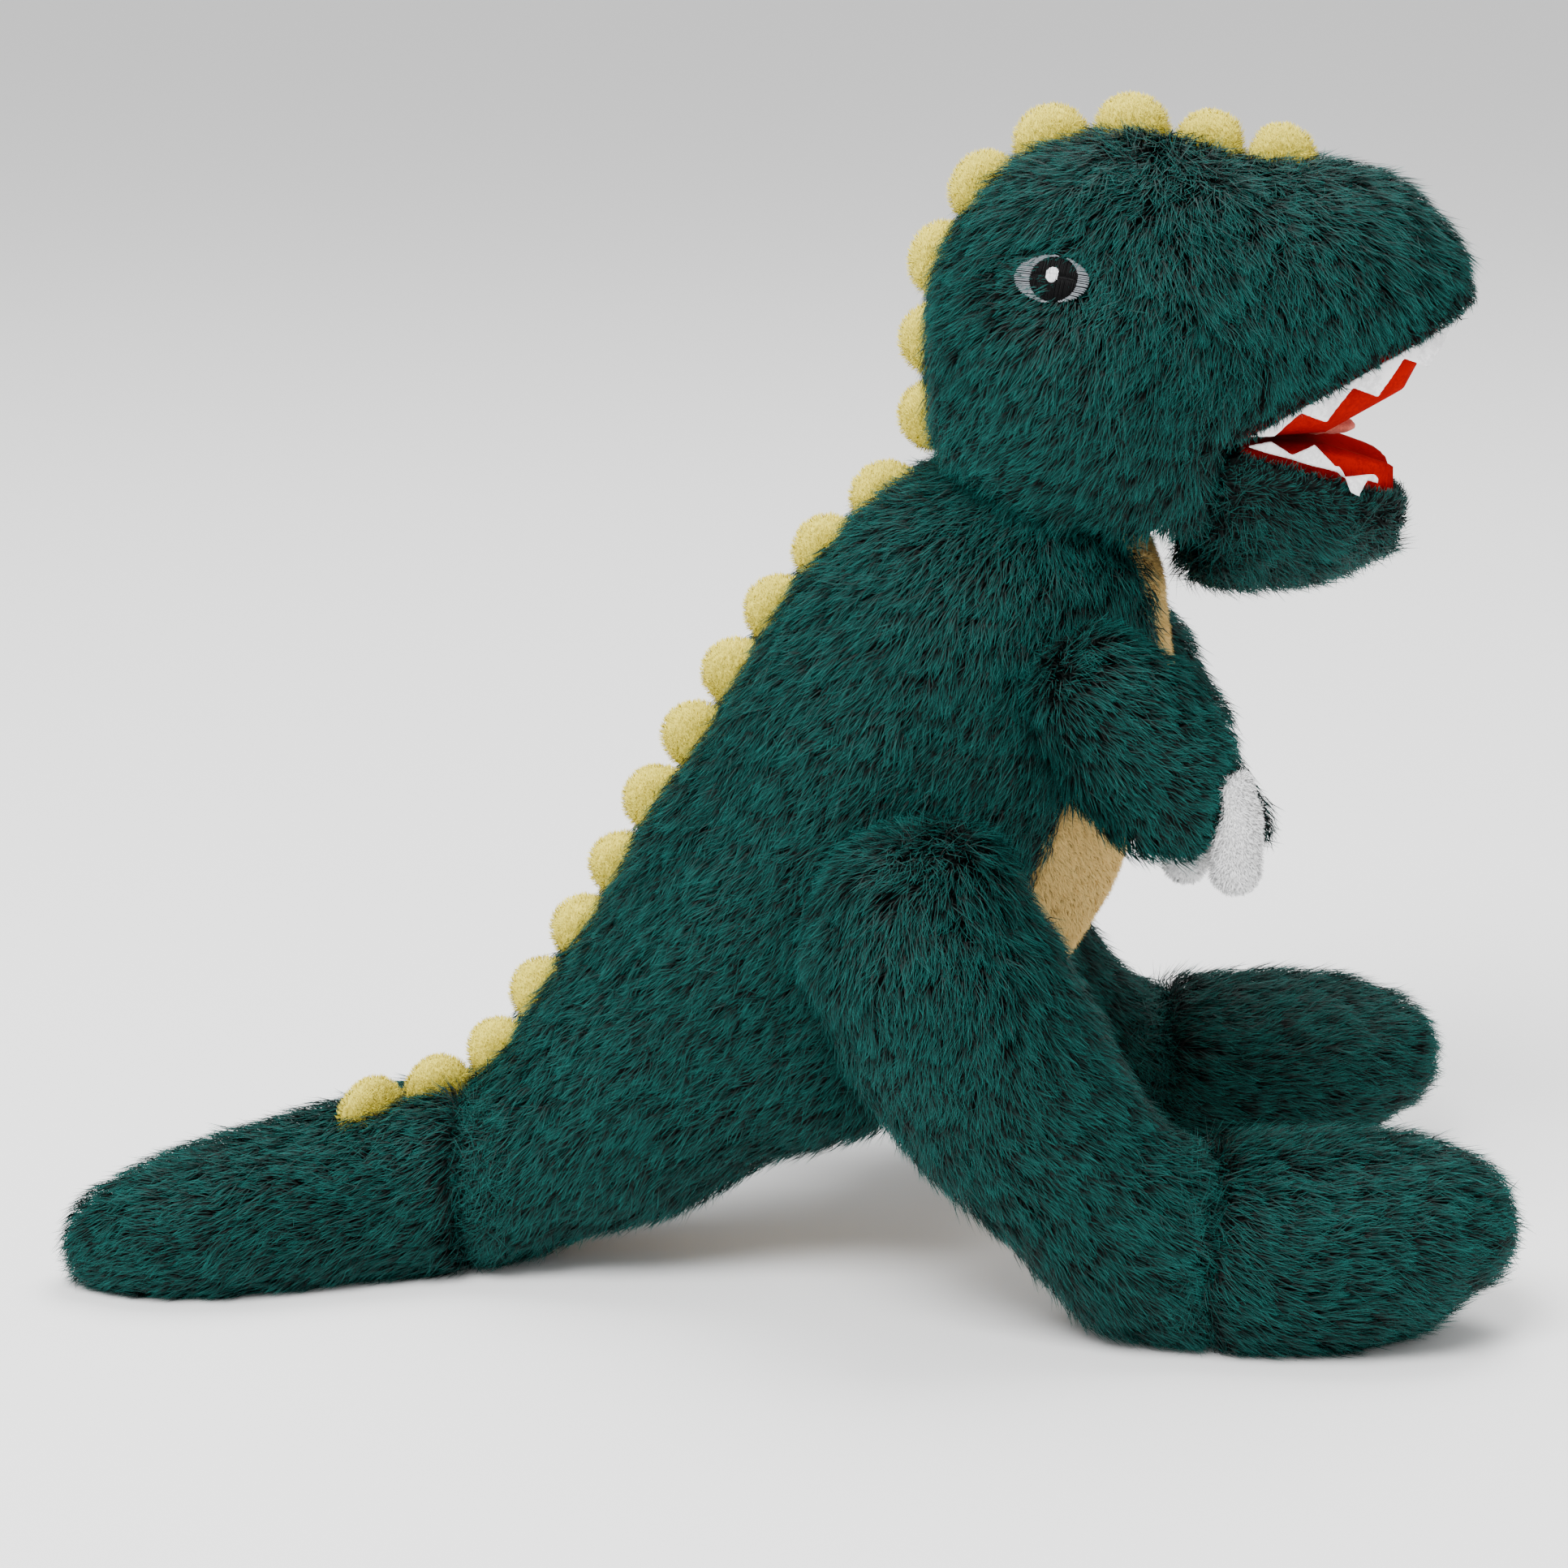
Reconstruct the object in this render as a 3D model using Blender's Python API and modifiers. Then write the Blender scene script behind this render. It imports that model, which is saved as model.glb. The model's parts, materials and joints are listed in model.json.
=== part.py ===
"""Stuffed dinosaur: a soft toy sewn from furry panels over separate stuffed forms.

It faces +X, stands on the flat soles of its two forward feet and on its tail, and +Z is up.
Lengths are in metres. The sections below give the outline that the long pile reaches; the cloth
lies PILE inside it, and the filling lies a cloth's thickness and an ease inside the cloth.
Run it with: blender --background --python part.py
"""

import math
from collections import namedtuple

import bmesh
import bpy
import numpy as np
from mathutils import Matrix, Vector

# ---- Driving sizes ----------------------------------------------------------------------------
BODY_SCALE = 1.0  # length and height of every stuffed form
GIRTH = 1.0  # width of every stuffed form
PILE = 0.005  # how far the long pile stands off its cloth
CLOTH = 0.0015  # backing cloth with the dense root of its pile
EASE = 0.0010  # between a cover and its filling
SEAM_GAP = 0.0003  # between pieces that touch
PANEL_GAP = 0.0016  # between two panels' edges, which lean together under the round outside
MOST_GAP_SHARE = 0.4  # of a panel's outer column, near the small end of a form
JOINT_GAP = 0.0012  # between a round filling and the seat around it
RIM_GAP = 0.0010  # from a flexing seam's centre to the rim that swings round it
FLANK = 0.050  # half width between the flat patches that arms and legs are sewn to
ANKLE_SIDE = FLANK + 0.032  # how far out each foot stands
CREST_SLOT = 0.0014  # half width of the open top seam that the scallops are sewn into
AROUND = 20  # points around a large form
BELLY_EDGE = 7  # the seam of the belly panel, counted in points from the back seam

# Wedges left free beside each seam that flexes, in degrees
SEAM_WEDGE = 12.0  # at the rim of a cover
FILLING_WEDGE = 28.0  # at the rim of a filling, which would be too thin nearer the seam
JAW_WEDGE = 8.0

# Crest of padded scallops
SCALLOP_WIDTH = 0.0205
SCALLOP_HEIGHT = 0.0138
SCALLOP_PAD = 0.0030  # half thickness at the middle
SCALLOP_EDGE = 0.0007  # half thickness at the seam edge
SCALLOP_ROOT = 0.0012  # seam allowance that goes down into the top seam
SCALLOP_MIDDLE = 0.45  # how high its middle is, as a share of its height
PAD_SHARE = 0.6  # of the outline, for the ring where the padding is thickest
SCALLOP_ROUND = 0.8  # under 1 makes the half-round's shoulders fuller
PAD_CROWN = 1.1  # of SCALLOP_PAD, at the very middle
SCALLOP_ARCH = 9  # points over the top
SCALLOP_BASE = 5  # and along the base

# Mouth
ROOF_ANGLE = 27.0  # of the mouth's roof above the horizontal, degrees
FLOOR_ANGLE = -18.0  # of the mouth's floor
THROAT_ANGLE = 262.0  # of the plane where the jaw is sewn to the throat
MOUTH_CORNER = (0.121, 0.242)
LINING = 0.0012
LINING_ROOM = 2 * LINING  # how far the fillings stand back from the mouth
TOOTH_FELT = 0.0010
UPPER_TOOTH = 0.0090
LOWER_TOOTH = 0.0062
TOOTH_SLOPE = 0.28  # of the longest tooth there is room for, against its distance from the corner
TOOTH_INSET = 0.0030  # from the cloth's outline to the middle of the felt strip
LOWER_TOOTH_INSET = 0.0045  # the lower teeth go inside the upper ones
TOOTH_VALLEY = 0.25  # how deep the strip is between teeth, as a share of a tooth
UPPER_TEETH = (4, 0.128, 0.186)  # teeth on a side, and the strip's ends along x
LOWER_TEETH = (3, 0.128, 0.166)
LINING_START = 0.005  # from the mouth's corner to the lining's edge

EYE = (0.0735, 0.288)  # x and z of its middle
EYE_LONG = 0.0215
EYE_TALL = 0.0135
EYE_THICK = 0.0024
EYE_CLEAR = 0.0008  # the head is round under the eye
EYE_TILT = 4.0
WELD = 1e-5  # points nearer than this are one
HALF_GAP = PANEL_GAP / 2
INSET = CLOTH + EASE
SOCKET_POINTS = 9  # round the hollow of a socket
REACH = 0.3  # past the whole toy, for the far sides of cutters

# A section runs from its back point to its belly point, as (x, z), with its half width, how far
# its middle lies to the side, and how far its back seam is turned toward the right, in degrees.
Section = namedtuple("Section", "back belly wide side roll", defaults=(0.0, 0.0))

TORSO = (
    Section((0.047, 0.2321), (0.101, 0.215), 0.036),
    Section((0.027, 0.220), (0.1095, 0.199), 0.049),
    Section((0.004, 0.198), (0.113, 0.174), 0.056),
    Section((-0.020, 0.162), (0.106, 0.137), 0.060),
    Section((-0.038, 0.132), (0.096, 0.108), 0.060),
    Section((-0.051, 0.107), (0.075, 0.074), 0.060, -0.002),
    Section((-0.062, 0.090), (0.042, 0.045), 0.057, -0.005),
    Section((-0.071, 0.077), (0.006, 0.034), 0.050, -0.008),
    Section((-0.080, 0.065), (-0.030, 0.014), 0.042, -0.011, 3.0),
    Section((-0.088, 0.055), (-0.088, -0.003), 0.033, -0.0135, 6.0),
)
HEAD = (
    Section((0.052, 0.300), (0.052, 0.203), 0.034),
    Section((0.062, 0.315), (0.062, 0.192), 0.044),
    Section((0.074, 0.323), (0.074, 0.188), 0.050),
    Section((0.092, 0.327), (0.092, 0.188), 0.053),
    Section((0.112, 0.324), (0.112, 0.192), 0.051),
    Section((0.128, 0.318), (0.128, 0.196), 0.047),
    Section((0.150, 0.318), (0.150, 0.200), 0.042),
    Section((0.168, 0.314), (0.168, 0.212), 0.037),
    Section((0.182, 0.302), (0.182, 0.232), 0.031),
    Section((0.190, 0.290), (0.190, 0.250), 0.022),
)
HEAD_BACK_DOME = 0.006
NOSE_DOME = 0.005
JAW = (
    Section((0.112, 0.291), (0.112, 0.197), 0.048),
    Section((0.130, 0.276), (0.130, 0.196), 0.044),
    Section((0.150, 0.262), (0.150, 0.198), 0.038),
    Section((0.164, 0.252), (0.164, 0.204), 0.031),
)
CHIN_DOME = 0.012
TAIL = (
    Section((-0.082, 0.055), (-0.082, -0.003), 0.033, -0.012, 5.0),
    Section((-0.088, 0.055), (-0.088, -0.003), 0.033, -0.0135, 6.0),
    Section((-0.110, 0.052), (-0.110, -0.007), 0.0335, -0.018, 12.0),
    Section((-0.135, 0.048), (-0.135, -0.007), 0.029, -0.030, 22.0),
    Section((-0.160, 0.043), (-0.160, -0.006), 0.025, -0.039, 32.0),
    Section((-0.180, 0.037), (-0.180, -0.005), 0.021, -0.042, 38.0),
    Section((-0.193, 0.030), (-0.193, -0.002), 0.015, -0.042, 38.0),
)
TAIL_DOME = 0.008
ARM = (
    Section((0.094, 0.195), (0.073, 0.160), 0.022, FLANK + 0.012),
    Section((0.106, 0.187), (0.078, 0.147), 0.023, FLANK + 0.013),
    Section((0.119, 0.172), (0.091, 0.135), 0.022, FLANK + 0.015),
    Section((0.129, 0.158), (0.106, 0.131), 0.019, FLANK + 0.015),
    Section((0.134, 0.149), (0.118, 0.133), 0.014, FLANK + 0.013),
)
SHOULDER_DOME = 0.012
HAND_DOME = 0.005
LEG = (
    Section((0.064, 0.127), (0.010, 0.124), 0.030, FLANK + 0.021),
    Section((0.077, 0.110), (0.004, 0.106), 0.034, FLANK + 0.025),
    Section((0.085, 0.090), (0.014, 0.080), 0.034, FLANK + 0.027),
    Section((0.092, 0.075), (0.035, 0.052), 0.030, FLANK + 0.029),
    Section((0.100, 0.063), (0.061, 0.026), 0.028, FLANK + 0.031),
    Section((0.107, 0.057), (0.084, 0.003), 0.028, ANKLE_SIDE),
    Section((0.112, 0.054), (0.112, -0.007), 0.029, ANKLE_SIDE),
)
THIGH_DOME = 0.012
FOOT = (
    Section((0.106, 0.054), (0.106, -0.007), 0.029, ANKLE_SIDE),
    Section((0.112, 0.054), (0.112, -0.007), 0.029, ANKLE_SIDE),
    Section((0.130, 0.056), (0.130, -0.008), 0.032, ANKLE_SIDE),
    Section((0.153, 0.056), (0.153, -0.006), 0.034, ANKLE_SIDE),
    Section((0.174, 0.055), (0.174, 0.002), 0.031, ANKLE_SIDE),
    Section((0.186, 0.051), (0.186, 0.013), 0.024, ANKLE_SIDE),
)
TOE_DOME = 0.010
CLAW_FRONT = (
    Section((0.127, 0.156), (0.115, 0.154), 0.0065, FLANK + 0.022),
    Section((0.130, 0.144), (0.116, 0.141), 0.0080, FLANK + 0.024),
    Section((0.130, 0.132), (0.117, 0.129), 0.0070, FLANK + 0.024),
)
CLAW_REAR = (
    Section((0.117, 0.141), (0.104, 0.140), 0.0065, FLANK + 0.008),
    Section((0.117, 0.134), (0.104, 0.133), 0.0070, FLANK + 0.008),
    Section((0.117, 0.130), (0.105, 0.129), 0.0060, FLANK + 0.008),
)
CLAW_DOME = 0.006
TONGUE = (
    Section((0.132, 0.2430), (0.132, 0.2400), 0.0065),
    Section((0.140, 0.2430), (0.140, 0.2385), 0.0090),
    Section((0.150, 0.2420), (0.150, 0.2365), 0.0095),
    Section((0.158, 0.2410), (0.158, 0.2370), 0.0080),
)
TONGUE_DOME = 0.004

# The crest, from the snout to the tail: how many scallops each body has, how far along its back
# seam the first one's middle sits, and how far apart they are
Crest = namedtuple("Crest", "body count first pitch")
CRESTS = (
    Crest("head", 8, 0.0735, 0.0214),
    Crest("torso", 10, 0.0240, 0.0219),
    Crest("tail", 2, 0.0130, 0.0215),
)

# Where the flexing seams are: a centre (x, side, z) for each
NECK = (0.074, 0.0, 0.22355)
NECK_LEAN = math.atan2(0.0171, 0.054)  # of the neck, forward from the vertical
TAIL_ROOT = (-0.088, -0.0135, 0.026)
SHOULDER = (0.097, FLANK, 0.166)
HIP = (0.044, FLANK, 0.098)
ANKLE = (0.112, ANKLE_SIDE, 0.0235)

FUR_GREEN = (0.004, 0.062, 0.048)
SCALLOP_YELLOW = (0.88, 0.70, 0.26)
BELLY_CREAM = (0.74, 0.56, 0.22)
CLAW_WHITE = (0.85, 0.85, 0.84)
FELT_RED = (0.60, 0.006, 0.006)
TONGUE_CORAL = (0.72, 0.14, 0.12)
STUFFING_WHITE = (0.80, 0.80, 0.78)
THREAD_BLACK = (0.01, 0.01, 0.012)


# ---- Scene, materials and bodies --------------------------------------------------------------
def clear_scene():
    for obj in list(bpy.data.objects):
        bpy.data.objects.remove(obj)


def new_collection(name):
    group = bpy.data.collections.new(name)
    bpy.context.scene.collection.children.link(group)
    return group


def cloth_material(name, colour, roughness=0.9):
    found = bpy.data.materials.get(name)
    if found:
        return found
    material = bpy.data.materials.new(name)
    material.use_nodes = True
    shader = material.node_tree.nodes["Principled BSDF"]
    shader.inputs["Base Color"].default_value = (*colour, 1.0)
    shader.inputs["Roughness"].default_value = roughness
    shader.inputs["Metallic"].default_value = 0.0
    return material


def scaled(point):
    """A point (x, side, z) of the design at the toy's driving sizes."""
    x, side, z = point
    return Vector((x * BODY_SCALE, side * GIRTH, z * BODY_SCALE))


class Toy:
    """Holds the collections and the empty on each flexing seam that a body's pieces hang from."""

    def __init__(self):
        self.parts = new_collection("stuffed_dinosaur")
        self.cutters = new_collection("cutters")
        self.seams = {}

    def add_body(self, name, centre):
        seam = bpy.data.objects.new("seam_" + name, None)
        seam.empty_display_size = 0.02
        seam.location = centre
        self.parts.objects.link(seam)
        self.seams[name] = seam

    def add_piece(self, name, body, points, faces, material, smooth=True):
        """A mesh object whose origin is on its body's seam."""
        mesh = bpy.data.meshes.new(name)
        origin = np.array(self.seams[body].location)
        mesh.from_pydata([tuple(p) for p in np.asarray(points) - origin], [], faces)
        mesh.materials.append(material)
        if smooth:
            mesh.shade_smooth()
            mesh.set_sharp_from_angle(angle=math.radians(50))
        piece = bpy.data.objects.new(name, mesh)
        self.parts.objects.link(piece)
        piece.parent = self.seams[body]
        return piece

    def add_cutter(self, name, mesh):
        cutter = bpy.data.objects.new(name, mesh)
        cutter.hide_render = True
        cutter.display_type = "WIRE"
        self.cutters.objects.link(cutter)
        return cutter


# ---- Stuffed forms ----------------------------------------------------------------------------
class Form:
    """Rings from the first section to the last. Point 0 of a ring is on the back seam, and a
    quarter of the way round is the left side."""

    def __init__(self, sections, around=AROUND, pile=PILE, start_dome=0.0, end_dome=0.0):
        self.around = around
        self.rings = []
        for section in sections:
            back = scaled((section.back[0], section.side, section.back[1]))
            belly = scaled((section.belly[0], section.side, section.belly[1]))
            middle = np.array((back + belly) / 2)
            up = np.array((back - belly).normalized())
            deep = (back - belly).length / 2 - pile
            wide = section.wide * GIRTH - pile
            turns = np.arange(around) * 2 * math.pi / around - math.radians(section.roll)
            ring = middle + np.outer(np.cos(turns) * deep, up)
            ring[:, 1] += np.sin(turns) * wide
            self.rings.append(ring)
        self.first, self.last = 0, len(self.rings)
        if end_dome:
            self.rings += self.dome(self.rings[-1], self.rings[-2], end_dome)
        if start_dome:
            dome = self.dome(self.rings[0], self.rings[1], start_dome)
            self.rings = dome[::-1] + self.rings
            self.first += len(dome)
            self.last += len(dome)

    def dome(self, ring, inner_ring, length):
        """Shrinking rings that round off an end, square to its ring. The last is a small flat."""
        middle = ring.mean(axis=0)
        outward = np.cross(ring[0] - middle, ring[self.around // 4] - middle)
        outward /= np.linalg.norm(outward)
        if outward @ (inner_ring.mean(axis=0) - middle) > 0:
            outward = -outward
        turns = np.radians((25, 50, 68))
        return [middle + (ring - middle) * math.cos(t) + outward * length * math.sin(t) for t in turns]

    def limit(self, side_least=None, side_most=None):
        """Flattens the form on the floor, and where it lies against a flank."""
        for ring in self.rings:
            ring[:, 2] = np.maximum(ring[:, 2], 0.0)
            if side_least is not None:
                ring[:, 1] = np.maximum(ring[:, 1], side_least)
            if side_most is not None:
                ring[:, 1] = np.clip(ring[:, 1], -side_most, side_most)
        return self

    def sheet(self, first, last, columns=None, gaps=(HALF_GAP, HALF_GAP)):
        """Points and faces of a run of rings. With columns it is a panel whose long edges stand
        back by the two gaps. The form's own ends are closed."""
        closed = columns is None
        run = list(range(self.around)) if closed else list(columns)
        grid = np.array([ring[[c % self.around for c in run]] for ring in self.rings[first:last]])
        if not closed:
            for end, inner, gap in ((0, 1, gaps[0]), (-1, -2, gaps[1])):
                along = grid[:, inner] - grid[:, end]
                share = np.minimum(gap / np.linalg.norm(along, axis=1), MOST_GAP_SHARE)
                grid[:, end] += along * share[:, None]
        wide, rows = len(run), len(grid)
        faces = []
        for r in range(rows - 1):
            for c in range(wide if closed else wide - 1):
                d = (c + 1) % wide
                faces.append([r * wide + c, r * wide + d, (r + 1) * wide + d, (r + 1) * wide + c])
        if first == 0 and self.first > 0:
            faces.append(list(range(wide)))
        if last == len(self.rings) and self.last < last:
            faces.append(list(range((rows - 1) * wide, rows * wide)))
        return grid.reshape(-1, 3), faces

    def solid(self):
        points, faces = self.sheet(0, len(self.rings))
        ends = [list(range(self.around)), list(range(len(points) - self.around, len(points)))]
        return points, [f for f in faces if len(f) == 4] + ends

    def half_width(self, x, z):
        """Half the form's width at a height in an upright section at x."""
        sides = []
        for ring in self.rings[self.first : self.last]:
            left = ring[: self.around // 2 + 1]
            sides.append((left[:, 0].mean(), np.interp(z, left[::-1, 2], left[::-1, 1])))
        sides = np.array(sides)
        return np.interp(x, sides[:, 0], sides[:, 1])


class SeamLine:
    """The back seam as a line that scallops are set out along."""

    def __init__(self, points, middles):
        self.points = np.array(points)
        self.middles = np.array(middles)
        steps = np.linalg.norm(np.diff(self.points, axis=0), axis=1)
        self.lengths = np.concatenate([[0.0], np.cumsum(steps)])

    def along(self, values, distance):
        return np.array([np.interp(distance, self.lengths, values[:, k]) for k in range(3)])

    def frame(self, distance, reach=SCALLOP_WIDTH / 3):
        """The point at a distance, the seam's direction there and the way out of the form."""
        point = self.along(self.points, distance)
        heading = self.along(self.points, distance + reach) - self.along(self.points, distance - reach)
        heading /= np.linalg.norm(heading)
        out = point - self.along(self.middles, distance)
        out -= heading * (out @ heading)
        return point, heading, out / np.linalg.norm(out)


def edit_mesh(piece, change):
    work = bmesh.new()
    work.from_mesh(piece.data)
    bmesh.ops.remove_doubles(work, verts=work.verts, dist=WELD)
    bmesh.ops.dissolve_degenerate(work, edges=work.edges, dist=WELD)
    bmesh.ops.recalc_face_normals(work, faces=work.faces)
    change(work)
    work.to_mesh(piece.data)
    work.free()


def face_away(work, middle):
    """Turns an open sheet so that its faces look away from the middle of its form."""
    votes = sum((f.calc_center_median() - middle).dot(f.normal) * f.calc_area() for f in work.faces)
    if votes < 0:
        bmesh.ops.reverse_faces(work, faces=work.faces)


def thicken(piece, thickness):
    piece.modifiers.new("flat_faces", "TRIANGULATE")
    solidify = piece.modifiers.new("cloth", "SOLIDIFY")
    solidify.thickness = thickness
    solidify.offset = -1.0
    solidify.use_even_offset = True


def shrink(piece, inward=INSET):
    piece.modifiers.new("flat_faces", "TRIANGULATE")
    inset = piece.modifiers.new("inset", "DISPLACE")
    inset.strength = -inward
    inset.mid_level = 0.0


def cut(piece, *cutters, operation="DIFFERENCE"):
    for cutter in cutters:
        boolean = piece.modifiers.new(cutter.name, "BOOLEAN")
        boolean.operation = operation
        boolean.object = cutter


# ---- Cutters ----------------------------------------------------------------------------------
def ray(centre, degrees, length=REACH):
    turn = math.radians(degrees)
    return (centre[0] + length * math.cos(turn), centre[1] + length * math.sin(turn))


def prism(toy, name, corners, upright=False):
    """A cutter: an outline of (x, z) points carried across the toy, or of (x, side) carried up."""
    work = bmesh.new()
    if upright:
        verts = [work.verts.new((x, side, -REACH)) for x, side in corners]
        step = Vector((0, 0, 3 * REACH))
    else:
        verts = [work.verts.new((x, -REACH, z)) for x, z in corners]
        step = Vector((0, 2 * REACH, 0))
    moved = bmesh.ops.extrude_face_region(work, geom=[work.faces.new(verts)])["geom"]
    bmesh.ops.translate(work, verts=[v for v in moved if isinstance(v, bmesh.types.BMVert)], vec=step)
    bmesh.ops.recalc_face_normals(work, faces=work.faces)
    mesh = bpy.data.meshes.new(name)
    work.to_mesh(mesh)
    work.free()
    return toy.add_cutter(name, mesh)


def socket(toy, name, centre, heading, free, radius=None, upright=False):
    """Cuts all but the sector around a heading, which ends `free` degrees short of square to it,
    and with a radius also a round hollow at that sector's centre."""
    half = 90.0 - free
    apex = ray(centre, heading, RIM_GAP)
    far = [ray(apex, heading + turn) for turn in (half, 125.0, 180.0, 235.0, 360.0 - half)]
    near = [apex]
    if radius:
        near = [ray(centre, heading + turn, radius) for turn in np.linspace(-half, half, SOCKET_POINTS)]
    return prism(toy, name, far + near, upright)


def hollow_radius(form_radius):
    """Of the hollow for a neighbour's domed filling, from the radius of the cloth over it."""
    return form_radius - INSET + JOINT_GAP


# ---- Sewn pieces ------------------------------------------------------------------------------
def fur():
    return cloth_material("green_fur", FUR_GREEN)


def add_filling(toy, name, body, form, side=1, material=None):
    """What fills a form inside its covers, or the layer of another material cut from the same."""
    points, faces = form.solid()
    material = material or cloth_material("stuffing", STUFFING_WHITE)
    piece = toy.add_piece(name, body, points * (1, side, 1), faces, material)
    edit_mesh(piece, lambda work: None)
    shrink(piece)
    return piece


def add_cover(
    toy, name, body, form, material, rings=None, columns=None, gaps=(HALF_GAP, HALF_GAP), side=1, patch=None
):
    """A piece of cloth on a form: a panel, or a sleeve open at the patch that lies on a flank."""
    first, last = rings or (0, len(form.rings))
    points, faces = form.sheet(first, last, columns, gaps)
    if patch is not None:
        faces = [f for f in faces if max(points[v][1] for v in f) > patch + WELD]
    used = sorted({v for f in faces for v in f})
    place = {old: new for new, old in enumerate(used)}
    faces = [[place[v] for v in f] for f in faces]
    piece = toy.add_piece(name, body, points[used] * (1, side, 1), faces, material)
    middle = np.concatenate(form.rings[first:last]).mean(axis=0) * (1, side, 1)
    local = Vector(middle) - toy.seams[body].location
    edit_mesh(piece, lambda work: face_away(work, local))
    thicken(piece, CLOTH)
    return piece


def add_torso(toy):
    neck, root = TORSO[0], TORSO[-1]
    neck_round = math.dist(neck.back, neck.belly) / 2 * BODY_SCALE - PILE
    form = Form(TORSO, start_dome=neck_round, end_dome=root.wide * GIRTH - PILE)
    form.limit(side_most=FLANK * GIRTH)
    body = form.first, form.last
    seam = (CREST_SLOT, HALF_GAP)
    left, right = range(BELLY_EDGE + 1), range(AROUND - BELLY_EDGE, AROUND + 1)
    front = range(BELLY_EDGE, AROUND - BELLY_EDGE + 1)
    belly = cloth_material("belly_plush", BELLY_CREAM)
    add_cover(toy, "body_panel_left", "torso", form, fur(), body, left, seam)
    add_cover(toy, "body_panel_right", "torso", form, fur(), body, right, seam[::-1])
    add_cover(toy, "belly_panel", "torso", form, belly, body, front)
    add_filling(toy, "torso_filling", "torso", form)
    rings = form.rings[form.first : form.last]
    return SeamLine([r[0] for r in rings], [r.mean(axis=0) for r in rings])


def slab(toy, name, angle, low, high):
    """A flat layer beside the mouth's roof or floor, from its corner forward."""
    corner = mouth_corner()
    up = ray((0, 0), angle + 90, 1.0)
    near = [(corner[0] + up[0] * h, corner[1] + up[1] * h) for h in (low, high)]
    start = [ray(point, angle, LINING_START) for point in near]
    end = [ray(point, angle) for point in near]
    return prism(toy, name, start + end[::-1])


def mouth_corner(back=0.0, up=0.0):
    return (MOUTH_CORNER[0] * BODY_SCALE - back, MOUTH_CORNER[1] * BODY_SCALE + up)


def add_head(toy):
    form = Form(HEAD, start_dome=HEAD_BACK_DOME, end_dome=NOSE_DOME).limit()
    neck = TORSO[0]
    centre = scaled(NECK)
    heading = 90.0 - math.degrees(NECK_LEAN)
    flat = (centre.x, centre.z)
    neck_round = math.dist(neck.back, neck.belly) / 2 * BODY_SCALE - PILE
    cover_rim = socket(toy, "neck_cover_socket", flat, heading, SEAM_WEDGE)
    filling_rim = socket(toy, "neck_socket", flat, heading, FILLING_WEDGE, hollow_radius(neck_round))
    turns = (ROOF_ANGLE, -20.0, -60.0, THROAT_ANGLE - JAW_WEDGE)
    corner = mouth_corner()
    mouth = prism(toy, "mouth_opening", [corner] + [ray(corner, t) for t in turns])
    inner = mouth_corner(back=LINING_ROOM, up=LINING_ROOM)
    lined = prism(toy, "lined_mouth", [inner] + [ray(inner, t) for t in turns])

    half = AROUND // 2
    slots = (CREST_SLOT, CREST_SLOT)
    for name, columns in (("left", range(half + 1)), ("right", range(half, AROUND + 1))):
        panel = add_cover(toy, "head_panel_" + name, "head", form, fur(), columns=columns, gaps=slots)
        cut(panel, cover_rim, mouth)
    filling = add_filling(toy, "head_filling", "head", form)
    cut(filling, filling_rim, lined)
    felt = cloth_material("red_felt", FELT_RED)
    roof = add_filling(toy, "mouth_lining_upper", "head", form, material=felt)
    cut(roof, slab(toy, "roof_layer", ROOF_ANGLE, SEAM_GAP, SEAM_GAP + LINING), operation="INTERSECT")
    back = form.rings[: form.first + 1]
    points = [r[0] for r in form.rings[::-1]] + [r[half] for r in back]
    middles = [r.mean(axis=0) for r in form.rings[form.first : form.last]]
    return form, SeamLine(points, [np.mean(middles, axis=0)] * len(points))


def add_jaw(toy):
    form = Form(JAW, end_dome=CHIN_DOME).limit()
    corner = mouth_corner()
    turns = (THROAT_ANGLE, 300.0, 330.0, 360.0 + FLOOR_ANGLE)
    apex = ray(corner, (THROAT_ANGLE + 360.0 + FLOOR_ANGLE) / 2, RIM_GAP)
    region = prism(toy, "jaw_region", [apex] + [ray(apex, t) for t in turns])
    inner = mouth_corner(back=-LINING_ROOM, up=-LINING_ROOM)
    lined = prism(toy, "lined_jaw", [inner] + [ray(inner, t) for t in turns])
    cut(add_cover(toy, "jaw_cover", "jaw", form, fur()), region, operation="INTERSECT")
    cut(add_filling(toy, "jaw_filling", "jaw", form), lined, operation="INTERSECT")
    felt = cloth_material("red_felt", FELT_RED)
    floor = add_filling(toy, "mouth_lining_lower", "jaw", form, material=felt)
    cut(floor, slab(toy, "floor_layer", FLOOR_ANGLE, -SEAM_GAP - LINING, -SEAM_GAP), operation="INTERSECT")
    tongue = Form(TONGUE, around=12, pile=0.0, start_dome=TONGUE_DOME, end_dome=TONGUE_DOME)
    points, faces = tongue.solid()
    piece = toy.add_piece("tongue", "jaw", points, faces, cloth_material("coral_terry", TONGUE_CORAL))
    edit_mesh(piece, lambda work: None)
    return form


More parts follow.
